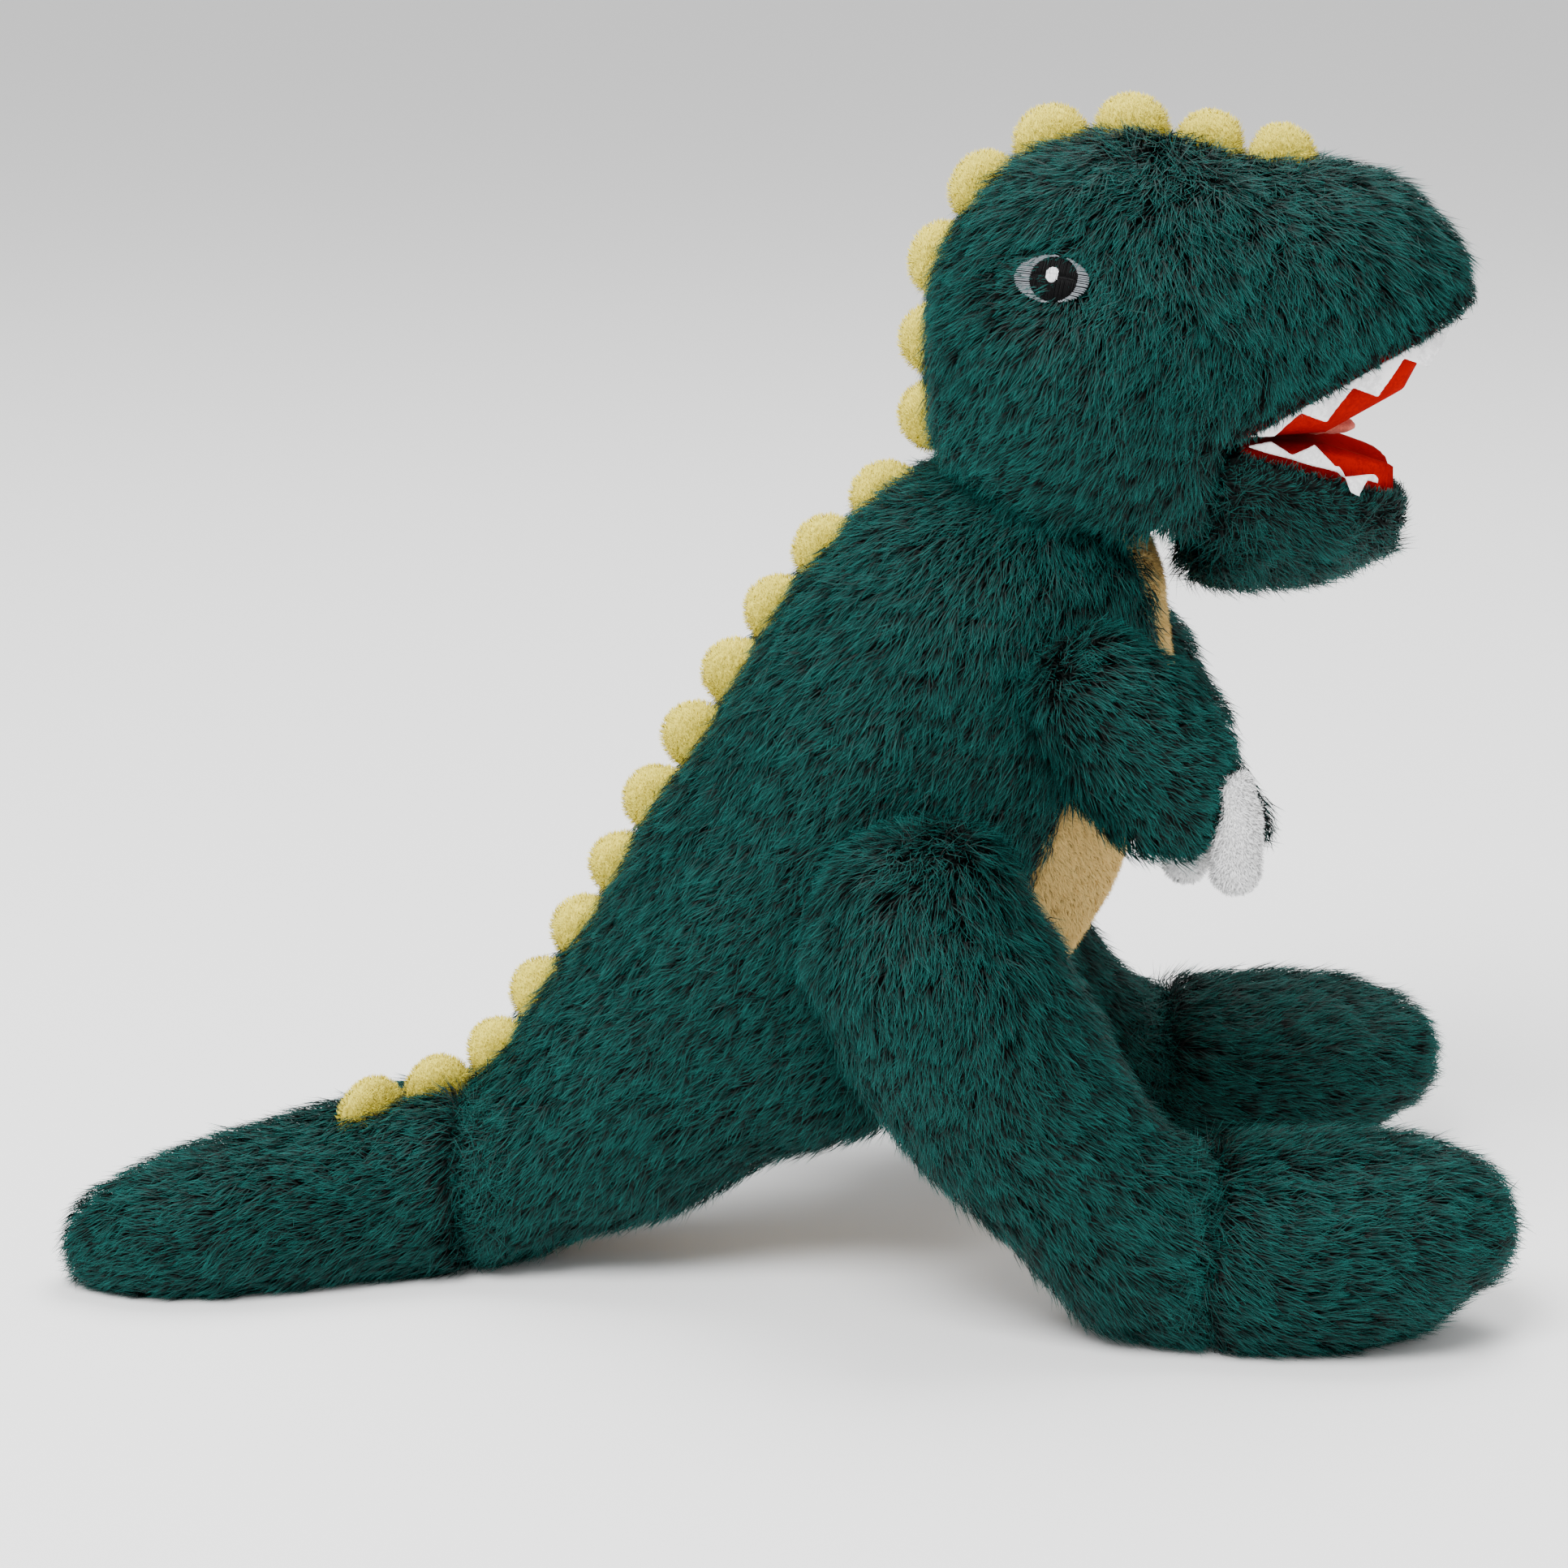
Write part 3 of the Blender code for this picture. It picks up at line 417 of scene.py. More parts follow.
def leaf_mesh(name, points, rng):
    """A mesh of leaves with five points each: a quad at the root and a triangle at the tip. Each
    has its own tone across the UV map and runs from root to tip up it."""
    count = len(points)
    mesh = bpy.data.meshes.new(name)
    mesh.vertices.add(count * LEAF_POINTS)
    mesh.vertices.foreach_set("co", points.ravel())
    corners = len(QUAD_AND_TIP)
    mesh.loops.add(count * corners)
    mesh.polygons.add(count * 2)
    first = np.arange(count)[:, None] * LEAF_POINTS
    mesh.loops.foreach_set("vertex_index", (first + QUAD_AND_TIP).ravel())
    starts = (np.arange(count)[:, None] * corners + np.array([0, 4])).ravel()
    mesh.polygons.foreach_set("loop_start", starts)
    mesh.update(calc_edges=True)
    place = mesh.uv_layers.new(name="OFBake")
    tone = np.floor(rng.random(count) * TONES) / TONES
    across = TONE_STEP * np.array([0.0, 1.0, 1.0, 0.0, 0.0, 1.0, 0.5])
    height = np.array([0.0, 0.0, 0.5, 0.5, 0.5, 0.5, 1.0])
    coords = np.stack([tone[:, None] + across, np.broadcast_to(height, (count, corners))], axis=2)
    place.data.foreach_set("uv", coords.astype(np.float32).ravel())
    return mesh


def grow(name, skin, body, pile, comb, keep=None, share=1.0, trim=None):
    """Covers a skin with locks of hair: narrow leaves that bend over along the comb. Trim gives the
    share of the length that is left at each root."""
    rng = np.random.default_rng(zlib.crc32(name.encode()))
    roots, normals = scatter(skin, pile.density * share, rng)
    if keep is not None:
        held = keep(roots)
        roots, normals = roots[held], normals[held]
    count = len(roots)
    way, draw, lock = locks(roots, normals, pile, comb, len(name), rng)
    chance = LEAST_LENGTH + OWN_LENGTH * rng.random(count) + LOCK_LENGTH * (lock[:, 0] - 0.5)
    long = pile.length * chance[:, None]
    if trim is not None:
        long = long * trim(roots)[:, None]
    rise = np.radians(pile.rise + rng.normal(size=count) * RISE_SPREAD)[:, None]
    bent = rng.normal(size=count) * LIE_SPREAD + (lock[:, 1] - 0.5) * LOCK_LIE
    lie = np.radians(pile.lie + bent)[:, None]
    start = way * np.cos(rise) + normals * np.sin(rise)
    end = way * np.cos(lie) + normals * np.sin(lie)
    half = roots + long * 0.5 * start + draw * DRAW_AT_MIDDLE
    tips = half + long * 0.5 * end + draw * (1 - DRAW_AT_MIDDLE)
    across = unit(np.cross(start, normals))
    twist = rng.normal(size=count)[:, None] * TWIST
    across = unit(across + normals * twist) * pile.width / 2
    sunk = roots - normals * ROOT_DEPTH
    leaves = [sunk - across, sunk + across, half - across * TAPER, half + across * TAPER, tips]
    points = np.stack(leaves, axis=1)
    points[:, :, 2] = np.maximum(points[:, :, 2], FLOOR_GAP)

    mesh = leaf_mesh(name, points, rng)
    facing = unit(np.cross(across, end))
    facing *= np.sign((facing * normals).sum(axis=1))[:, None]
    shading = unit(normals * FLATTEN + facing * FACE + rng.normal(size=normals.shape) * FLECK)
    mesh.shade_smooth()
    mesh.normals_split_custom_set_from_vertices(np.repeat(shading, LEAF_POINTS, axis=0))
    mesh.materials.append(pile.look)
    fur = new_object(name, mesh)
    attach(fur, body)
    return fur


# ---- Combing ----------------------------------------------------------------------------------
def steady(*way):
    return lambda points, normals: np.broadcast_to(np.array(way), points.shape)


def swirling(way, size, amount, seed):
    """Mostly one way, but waving from side to side as brushed pile does."""
    way = np.array(way)

    def comb(points, normals):
        turned = np.cross(normals, way)
        return way + turned * (waves(points, size, seed) * amount)[:, None]

    return comb


def ruffled(comb, place, reach=0.009, least=0.12):
    """Lets the pile lie tousled beside a flexing seam across x, so that it hides the seam."""

    def loose(points, normals):
        share = np.clip(np.abs(points[:, 0] - place.x) / reach, least, 1.0)
        return comb(points, normals) * share[:, None]

    return loose


def nearest(*nodes):
    """A function that measures how far points are from these CAD nodes."""
    work = bmesh.new()
    for node in nodes:
        work.from_mesh(frame["nodes"][node].data)
    tree = BVHTree.FromBMesh(work)
    work.free()
    return lambda points: np.array([tree.find_nearest(p)[3] for p in points.tolist()])


def near(places, reach):
    return lambda points: nearest(*places)(points) < reach


def clear_of(places, reach):
    return lambda points: nearest(*places)(points) > reach


def all_of(*tests):
    def keep(points):
        held = np.ones(len(points), bool)
        for test in tests:
            held[held] = test(points[held])
        return held

    return keep


# ---- The toy's piles and looks ----------------------------------------------------------------
SEAM_EASE = 0.0007  # swell of cover and filling that closes the gap between them
LUMP_SIZE = 0.06  # of the lumps in the filling


def materials():
    """Makes each look once and keeps it by name."""
    fur = bpy.context.scene.plush_fur
    plush = bpy.context.scene.plush_cloth
    root, tip = list(fur.root), list(fur.tip)
    made = {
        "fur": strand_look("green_fur_pile", root, tip, roughness=0.6, sheen=0.0, gloss=0.16),
        # the cloth under the long pile takes the pile's shaded root colour: painted shade where the skin
        # shows between the hairs
        "backing": cloth_look("green_fur_backing", fade(root, 1.5), sheen=0.0),
        "tooth": cloth_look("white_felt", list(plush.tooth), bump=0.5, grain=FELT_GRAIN),
        "lining": cloth_look(
            "red_felt", list(plush.lining), roughness=1.0, bump=0.3, sheen=0.0, gloss=0.05
        ),
        "tongue": cloth_look(
            "coral_terry", list(plush.tongue), bump=0.9, grain=TERRY_GRAIN, depth=0.0006
        ),
    }
    for name, shade in (("scallop", plush.scallop), ("belly", plush.belly), ("claw", plush.claw)):
        shade = list(shade)
        # each backing is 0.8 as bright as its plush: painted shade under the pile
        made[name] = cloth_look(name + "_backing", fade(shade, 0.8))
        pile = name + "_pile"
        # the short pile's root colour is darker than the plush: painted shade low in the pile
        made[pile] = strand_look(pile, fade(shade, 0.88), shade, roughness=0.75, sheen=0.1, vary=0.12)
    return made


class Toolbox:
    """What the operators share: the looks and the piles."""

    looks = {}

    @classmethod
    def look(cls, name):
        if not cls.looks:
            cls.looks.update(materials())
        return cls.looks[name]

    @classmethod
    def fur(cls, share=1.0):
        """The long pile. A share under 1 is brushed shorter."""
        fur = bpy.context.scene.plush_fur
        return Pile(fur.length * share, fur.width, fur.density, rise=54, lie=14, clump=0.0036, pull=0.42,
                    stray=0.2, tousle=0.6, look=cls.look("fur"))

    @classmethod
    def short(cls, name, length=0.0026, width=0.0003, density=5.0e6):
        """A sheared pile of polyester plush."""
        return Pile(length, width, density, rise=60, lie=38, clump=0.0016, pull=0.15, stray=0.5,
                    tousle=0.6, look=cls.look(name + "_pile"))


def dress(skin, body, look, stands_for):
    """Gives a finished piece its look and ties it to the frame."""
    skin.data.materials.clear()
    skin.data.materials.append(Toolbox.look(look))
    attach(skin, body)
    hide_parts(*stands_for)
    return skin


def trimmed(places, reach, least):
    """Clipped short beside these nodes, and full length from that far away."""
    return lambda points: np.clip(nearest(*places)(points) / reach, least, 1.0)


def furred(name, body, nodes, comb, keep=None, lumps=0.0012, share=1.0, dents=(), voxel=COARSE_WEAVE,
           parts=1, trim=None):
    """A stuffed form under its long pile, grown as one or more pieces."""
    skin = soft_skin(name + "_skin", nodes, voxel, swell=SEAM_EASE)
    lumpy(skin, LUMP_SIZE, lumps, len(name))
    if dents:
        press(skin, *dents)
    settle(skin)
    dress(skin, body, "backing", nodes)
    pile = Toolbox.fur(share)
    for part in range(parts):
        fur = grow(f"{name}_fur_{part + 1}", skin, body, pile, comb, keep, share=1.0 / parts, trim=trim)
    return skin


class Builder(bpy.types.Operator):
    """Runs build() and reports what it did"""

    bl_options = {"REGISTER"}

    def execute(self, context):
        self.build(context)
        self.report({"INFO"}, self.bl_label)
        return {"FINISHED"}


HEM = 0.001  # the long pile starts this far outside what shows of the belly
INNER_FACE = 0.0015  # the belly cloth's inner face lies within this of the filling
BELLY_REACH = 0.006  # and the cloth within this of its panel, lumps and all
BELLY_CLOTH = 0.0024
BELLY_SHOWN = ([-0.09, -0.03, 0.03, 0.07], [0.003, 0.010, 0.022, 0.2])  # half width at each x
COLLAR_FRONT, COLLAR_HEIGHT = 0.06, 0.175  # where the collar begins
COLLAR_SHOWN = 0.024
TAIL_BEND = [-0.09, 0.05]  # the middle line bends toward the tail between these


class PLUSH_OT_torso(Builder):
    """Sew the torso and the belly panel, and brush their piles"""

    bl_idname = "plush.torso"
    bl_label = "Torso"

    def build(self, context):
        nodes = ("torso_filling", "body_panel_left", "body_panel_right")
        limbs = [f"{limb}_filling_{side}" for limb in ("arm", "leg") for side, _ in SIDES]

        def off_belly(points):
            return self.by_sides(points) | (self.beyond_belly(points) > HEM)

        keep = all_of(off_belly, clear_of(limbs, 0.0045))
        comb = ruffled(swirling((-0.62, 0.0, -0.78), 0.09, 0.3, seed=3), joint_place["tail"])
        skin = furred("torso", "torso", (*nodes, "belly_panel"), comb, keep, lumps=0.0015, parts=3)
        belly = self.belly_from(skin)
        dress(belly, "torso", "belly", ["belly_panel"])
        nap = swirling((0.1, 0.0, -1.0), 0.05, 0.3, seed=8)
        pile = Toolbox.short("belly", length=0.0036, density=4.5e6)
        outer = clear_of(["torso_filling"], INNER_FACE)
        fuzz = grow("belly_pile", belly, "torso", pile, nap, keep=outer)

    def by_sides(self, points):
        """Whether points lie nearer to the side panels than to the belly panel."""
        return nearest("body_panel_left", "body_panel_right")(points) < nearest("belly_panel")(points)

    def beyond_belly(self, points):
        """How far points lie to the side of what shows of the belly panel, which the long pile
        leaves narrower toward the tail and at the collar."""
        shown = np.interp(points[:, 0], *BELLY_SHOWN)
        collar = (points[:, 0] > COLLAR_FRONT) & (points[:, 2] > COLLAR_HEIGHT)
        shown = np.where(collar, COLLAR_SHOWN, shown)
        middle = np.interp(points[:, 0], TAIL_BEND, [joint_place["tail"].y, 0.0])
        return np.abs(points[:, 1] - middle) - shown

    def belly_from(self, skin):
        """The part of the torso's skin under the belly panel, raised a little and given a thickness."""
        work = bmesh.new()
        work.from_mesh(skin.data)
        work.faces.ensure_lookup_table()
        centres = np.array([f.calc_center_median() for f in work.faces])
        off = self.by_sides(centres) | (self.beyond_belly(centres) > 0)
        off |= nearest("belly_panel")(centres) > BELLY_REACH
        away = [face for face, is_off in zip(work.faces, off) if is_off]
        bmesh.ops.delete(work, geom=away, context="FACES")
        mesh = bpy.data.meshes.new("belly_skin")
        work.to_mesh(mesh)
        work.free()
        belly = new_object("belly_skin", mesh)
        thick = belly.modifiers.new("cloth", "SOLIDIFY")
        thick.thickness = BELLY_CLOTH
        thick.offset = 0.2
        smooth = belly.modifiers.new("ease", "SMOOTH")
        smooth.iterations = 4
        return finished(belly)


MOUTH = [f"{kind}_{side}" for kind in ("upper_teeth", "lower_teeth") for side, _ in SIDES]
MOUTH += ["mouth_lining_upper", "mouth_lining_lower"]
MOUTH_REACH = 0.012  # farther off than this, no pile can grow into the mouth
BY_CLOTH = 0.0028  # the skin is this near the cloth that it stands for
PARTING, PARTING_WIDTH = 0.125, 0.06  # where the snout's pile parts, along x
EYE_WHORL = (0.004, 0.0, -0.0035)  # the point beside an eye that the pile lies away from
WHORL_SIZE = 0.014
# Each rise or dent beside an eye: how far ahead, inward and up it is, its radius and its height.
FEATURES = (
    ((-0.002, 0.0, 0.021), 0.015, 0.0035),  # brow
    ((0.016, 0.0, 0.002), 0.011, -0.0030),  # hollow in front of the eye
    ((0.0, 0.0, 0.0), 0.010, -0.0012),  # socket
    ((0.012, 0.0, -0.034), 0.026, 0.0035),  # cheek
    ((0.078, 0.010, 0.004), 0.022, 0.0020),  # nostril
)
FOLD_STEPS = 9  # dents along the fold that arches over the brow
FOLD_AHEAD, FOLD_UP = 0.003, 0.016
FOLD_REACH, FOLD_ARCH = 0.021, 0.014
FOLD_RADIUS, FOLD_DEPTH = 0.0055, -0.0022


def eye_middle(side):
    low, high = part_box("eye_" + side)
    return (low + high) / 2


def head_comb(points, normals):
    """From a parting on the snout the pile lies forward and down; behind it, back and down. Round
    the eyes it lies away from a point low at their front."""
    back = np.clip((PARTING - points[:, 0]) / PARTING_WIDTH, -0.7, 1.0)[:, None]
    way = np.concatenate([-back, np.zeros_like(back), np.full_like(back, -0.8)], axis=1)
    way = way + np.cross(normals, way) * (waves(points, 0.05, 21) * 0.35)[:, None]
    for side, _ in SIDES:
        away = points - np.array(eye_middle(side)) - np.array(EYE_WHORL)
        far = np.linalg.norm(away, axis=1)[:, None]
        way = way + away / np.maximum(far, 1e-6) * np.exp(-((far / WHORL_SIZE) ** 2)) * 0.7
    return way


def outside(cloth):
    """Not within the mouth, where no cloth of the long pile lies near."""
    by_cloth, off_mouth = near(cloth, BY_CLOTH), clear_of(MOUTH, MOUTH_REACH)
    return lambda points: by_cloth(points) | off_mouth(points)


class PLUSH_OT_head(Builder):
    """Sew the head, with its brows and cheeks"""

    bl_idname = "plush.head"
    bl_label = "Head"

    def build(self, context):
        panels = ["head_panel_left", "head_panel_right"]
        dents = []
        for side, sign in SIDES:
            eye = eye_middle(side)
            for (ahead, inward, up), radius, amount in FEATURES:
                dents.append((eye + Vector((ahead, -inward * sign, up)), radius, amount))
            for turn in np.linspace(0, math.pi, FOLD_STEPS):
                ahead = FOLD_AHEAD + FOLD_REACH * math.cos(turn)
                up = FOLD_UP + FOLD_ARCH * math.sin(turn)
                dents.append((eye + Vector((ahead, 0, up)), FOLD_RADIUS, FOLD_DEPTH))
        eyes = ["eye_left", "eye_right"]
        keep = all_of(outside(panels), clear_of(eyes, 0.0003), clear_of(MOUTH, 0.0006))
        by_eye = trimmed(eyes, 0.008, 0.6)
        by_mouth = trimmed(MOUTH, 0.014, 0.38)

        def trim(points):
            return np.minimum(by_eye(points), by_mouth(points))

        nodes = ("head_filling", *panels)
        furred("head", "head", nodes, head_comb, keep, dents=dents, parts=3, trim=trim)


class PLUSH_OT_jaw(Builder):
    """Sew the lower jaw"""

    bl_idname = "plush.jaw"
    bl_label = "Jaw"

    def build(self, context):
        keep = all_of(outside(["jaw_cover"]), clear_of(MOUTH, 0.0005))
        down = ruffled(swirling((0.5, 0.0, -0.7), 0.04, 0.4, seed=5), joint_place["jaw"], reach=0.012)

        def comb(points, normals):
            lip = np.exp(-((nearest(*MOUTH)(points) / 0.006) ** 2))[:, None]
            return down(points, normals) * (1 - lip) + np.array([0.3, 0.0, 0.8]) * lip

        furred("jaw", "jaw", ("jaw_filling", "jaw_cover"), comb, keep, lumps=0.001, voxel=0.0022,
               trim=trimmed(MOUTH, 0.012, 0.3))


CROWN = {"upper": (-0.0150, 0.0020), "lower": (0.0085, 0.0034)}  # rise and tuck of each lining
CROWN_START = 0.03  # ahead of the mouth's corners, where a lining's swell is full
CROWN_END, CROWN_FALL = 0.062, 0.01  # where it has ended, and over what length
LIP_EDGE = ([0.0, 0.03, 0.05, 0.07], [0.042, 0.036, 0.030, 0.020])  # half width ahead of there
GROOVE, GROOVE_WIDTH = 0.35, 0.012  # down the middle of each lining
TONGUE_LIFT = 0.0034  # the tongue rests on the swollen lining
FELT_RIPPLE, FELT_RIPPLES = 0.0006, 520.0  # height of a tooth strip's ripples, and radians a metre
FELT_OUT, FELT_CURL = 0.0008, 0.02  # how far it stands out, and leans out to its tips
UPPER_TUCK = 0.0018  # up under the pile
LOWER_OUT = 0.0016
FLOP_TURN = 150.0  # degrees that the foremost lower tooth is folded over
FLOP_RADIUS, FLOP_BASE, FLOP_BLEND = 0.0012, 0.0016, 0.004
FLOP_STRETCH = 0.5


class PLUSH_OT_mouth(Builder):
    """Line the mouth with red felt and sew in the teeth and tongue"""

    bl_idname = "plush.mouth"
    bl_label = "Mouth"

    def build(self, context):
        for where, body in (("upper", "head"), ("lower", "jaw")):
            node = "mouth_lining_" + where
            lining = soft_skin(f"lining_{where}", [node], voxel=0.0009, rounds=6)
            self.crown(lining, *CROWN[where])
            dress(lining, body, "lining", [node])
            for side, sign in SIDES:
                self.teeth(where, body, side, sign)
        tongue = soft_skin("tongue_skin", ["tongue"], voxel=0.0008, rounds=3)
        lumpy(tongue, 0.004, 0.00025, 5)
        tongue.data.transform(Matrix.Translation((0.0, 0.0, TONGUE_LIFT)))
        dress(tongue, "jaw", "tongue", ["tongue"])

    def crown(self, lining, rise, tuck):
        """The stuffing behind swells the face of a lining that looks into the mouth. Its edges are
        tucked in under the teeth."""
        points, normals = points_of(lining.data), normals_of(lining.data)
        inner = np.clip(normals[:, 2] * math.copysign(3.0, rise), 0.0, 1.0)
        corner = joint_place["jaw"].x
        ahead = points[:, 0] - corner
        edge = np.interp(ahead, *LIP_EDGE)
        across = np.clip(np.abs(points[:, 1]) / edge, 0.0, 1.0)
        groove = GROOVE * np.exp(-((points[:, 1] / GROOVE_WIDTH) ** 2))
        behind = np.clip(ahead / CROWN_START, 0.0, 1.0)
        before = np.clip((CROWN_END - ahead) / CROWN_FALL, 0.0, 1.0)
        swell = behind * before * (1 - across**6) * (1 - groove)
        points[:, 2] += rise * swell * inner
        points[:, 1] *= 1 - tuck / edge * across
        lining.data.vertices.foreach_set("co", points.ravel())
        lining.data.update()

    def teeth(self, where, body, side, sign):
        """Cut felt: crisp zigzag with soft edges, curling a little away from the gum."""
        node = f"{where}_teeth_{side}"
        felt = soft_skin(f"{where}_felt_{side}", [node], voxel=0.00045, rounds=3)
        points = points_of(felt.data)
        low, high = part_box(node)
        tip_down = where == "upper"
        depth = (high.z - points[:, 2]) if tip_down else (points[:, 2] - low.z)
        ripple = FELT_RIPPLE * np.sin(points[:, 0] * FELT_RIPPLES)
        points[:, 1] += sign * (ripple + FELT_OUT + FELT_CURL * depth)
        if tip_down:
            points[:, 2] += UPPER_TUCK
        else:
            points[:, 1] += sign * LOWER_OUT
            self.fold(points, low, high, sign)
        felt.data.vertices.foreach_set("co", points.ravel())
        felt.data.update()
        dress(felt, body, "tooth", [node])

    def fold(self, points, low, high, sign):
        """The foremost lower tooth has flopped out and down over the lip."""
        start = low.x + (high.x - low.x) * 2 / 3
        ahead = np.clip((points[:, 0] - start) / FLOP_BLEND, 0.0, 1.0)
        over = np.maximum(points[:, 2] - low.z - FLOP_BASE, 0.0)
        bent = np.minimum(over, FLOP_RADIUS * math.radians(FLOP_TURN) * ahead)
        angle = bent / FLOP_RADIUS
        straight = (over - bent) * (1 + FLOP_STRETCH * ahead)
        points[:, 1] += sign * (FLOP_RADIUS * (1 - np.cos(angle)) + straight * np.sin(angle))
        points[:, 2] += FLOP_RADIUS * np.sin(angle) + straight * np.cos(angle) - over


class PLUSH_OT_tail(Builder):
    """Sew the tail"""

    bl_idname = "plush.tail"
    bl_label = "Tail"

    def build(self, context):
        panels = ["tail_panel_left", "tail_panel_right"]
        comb = ruffled(swirling((-1.0, -0.25, -0.35), 0.05, 0.3, seed=11), joint_place["tail"])
        keep = near(panels, 0.0045)
        furred("tail", "tail", ("tail_filling", *panels), comb, keep, share=0.95, parts=2, voxel=0.0025)


class PLUSH_OT_arms(Builder):
    """Sew the arms and their plush claws"""

    bl_idname = "plush.arms"
    bl_label = "Arms"

    def build(self, context):
        sides = ["body_panel_left", "body_panel_right"]
        comb = swirling((0.65, 0.0, -0.75), 0.04, 0.3, seed=13)
        for side, _ in SIDES:
            body = "arm_" + side
            nodes = ("arm_filling_" + side, "arm_cover_" + side)
            claws = [f"claw_{place}_{side}" for place in ("front", "rear")]
            keep = all_of(clear_of(sides, 0.0035), clear_of(claws, 0.0012))
            furred(body, body, nodes, comb, keep, lumps=0.001, share=0.85, voxel=0.0022,
                   trim=trimmed(claws, 0.010, 0.35))
            for place in ("front", "rear"):
                node = f"claw_{place}_{side}"
                claw = soft_skin(f"{place}_claw_{side}_skin", [node], voxel=0.0011, rounds=4)
                dress(claw, body, "claw", [node])
                nap = Toolbox.short("claw", length=0.0022)
                fuzz = grow(f"{place}_claw_{side}_pile", claw, body, nap, steady(0.2, 0, -1))


class PLUSH_OT_legs(Builder):
    """Sew the legs and feet"""

    bl_idname = "plush.legs"
    bl_label = "Legs and feet"

    def build(self, context):
        sides = ["body_panel_left", "body_panel_right", "belly_panel"]
        toes = swirling((1.0, 0.0, -0.25), 0.04, 0.3, seed=17)
        for side, _ in SIDES:
            leg, foot = "leg_" + side, "foot_" + side
            ankle = joint_place[foot]
            nodes = ("leg_filling_" + side, "leg_cover_" + side)
            comb, keep = ruffled(shin_comb, ankle), clear_of(sides, 0.0035)
            furred(leg, leg, nodes, comb, keep, parts=2, voxel=0.0026)
            cover = "foot_cover_" + side
            nodes = ("foot_filling_" + side, cover)
            comb, keep = ruffled(toes, ankle), near([cover], 0.0045)
            furred(foot, foot, nodes, comb, keep, voxel=0.0026)


KNEE_TOP, KNEE_TURN = 0.11, 0.08  # height where the pile starts to turn forward, and its fall


def shin_comb(points, normals):
    """Down the thigh, then forward along the shin to the ankle."""
    low = np.clip((KNEE_TOP - points[:, 2]) / KNEE_TURN, 0.0, 1.0)[:, None]
    way = np.concatenate([-0.15 + 1.1 * low, np.zeros_like(low), -1.0 + 0.35 * low], axis=1)
    return way + np.cross(normals, way) * (waves(points, 0.05, 31) * 0.3)[:, None]


class PLUSH_OT_crest(Builder):
    """Sew the padded scallops into the back seam"""

    bl_idname = "plush.crest"
    bl_label = "Crest"

    def build(self, context):
        for body, nodes in frame["record"]["behaviour"]["bodies"].items():
            pads = sorted(node for node in nodes if node.startswith("scallop_"))
            if not pads:
                continue
            for node in pads:
                pad = cad_copy(node.replace("scallop", "crest"), [node])
                round_off = pad.modifiers.new("stuff", "SUBSURF")
                round_off.levels = round_off.render_levels = 3
                finished(pad)
                dress(pad, body, "scallop", [node])
                nap = Toolbox.short("scallop", length=0.0021, width=0.00026, density=7.0e6)
                fuzz = grow(pad.name + "_pile", pad, body, nap, steady(-0.3, 0.0, 1.0))


PITCH = 0.00030  # between upright stitches
EYE = 0.0104, 0.0063  # half length and half height of the padded oval
DOME = 0.0125, 0.0085  # where its dome would come down to the cloth
DOME_RISE, DOME_SINK = 0.0016, 0.0006
PAD_RINGS = ((1.0, -0.003), (1.0, -0.0004), (0.92, 0.0), (0.6, 0.0), (0.3, 0.0))  # size, lift
PAD_STEPS = 41
PUPIL = (0.0009, 0.0), 0.0069, 0.0067  # its middle, half width and half height
GLINT = (0.0004, 0.0010), 0.0018, 0.0023
GLINT_LIFT = 0.00032
WHITE_RIM = 0.0109, 0.0067  # where the white's stitches end
WHITE_INNER = 0.0066, 0.0064  # where they start, round the pupil's middle
WHITE_STITCHES = 74
SHORTEST = 0.0006  # stitch


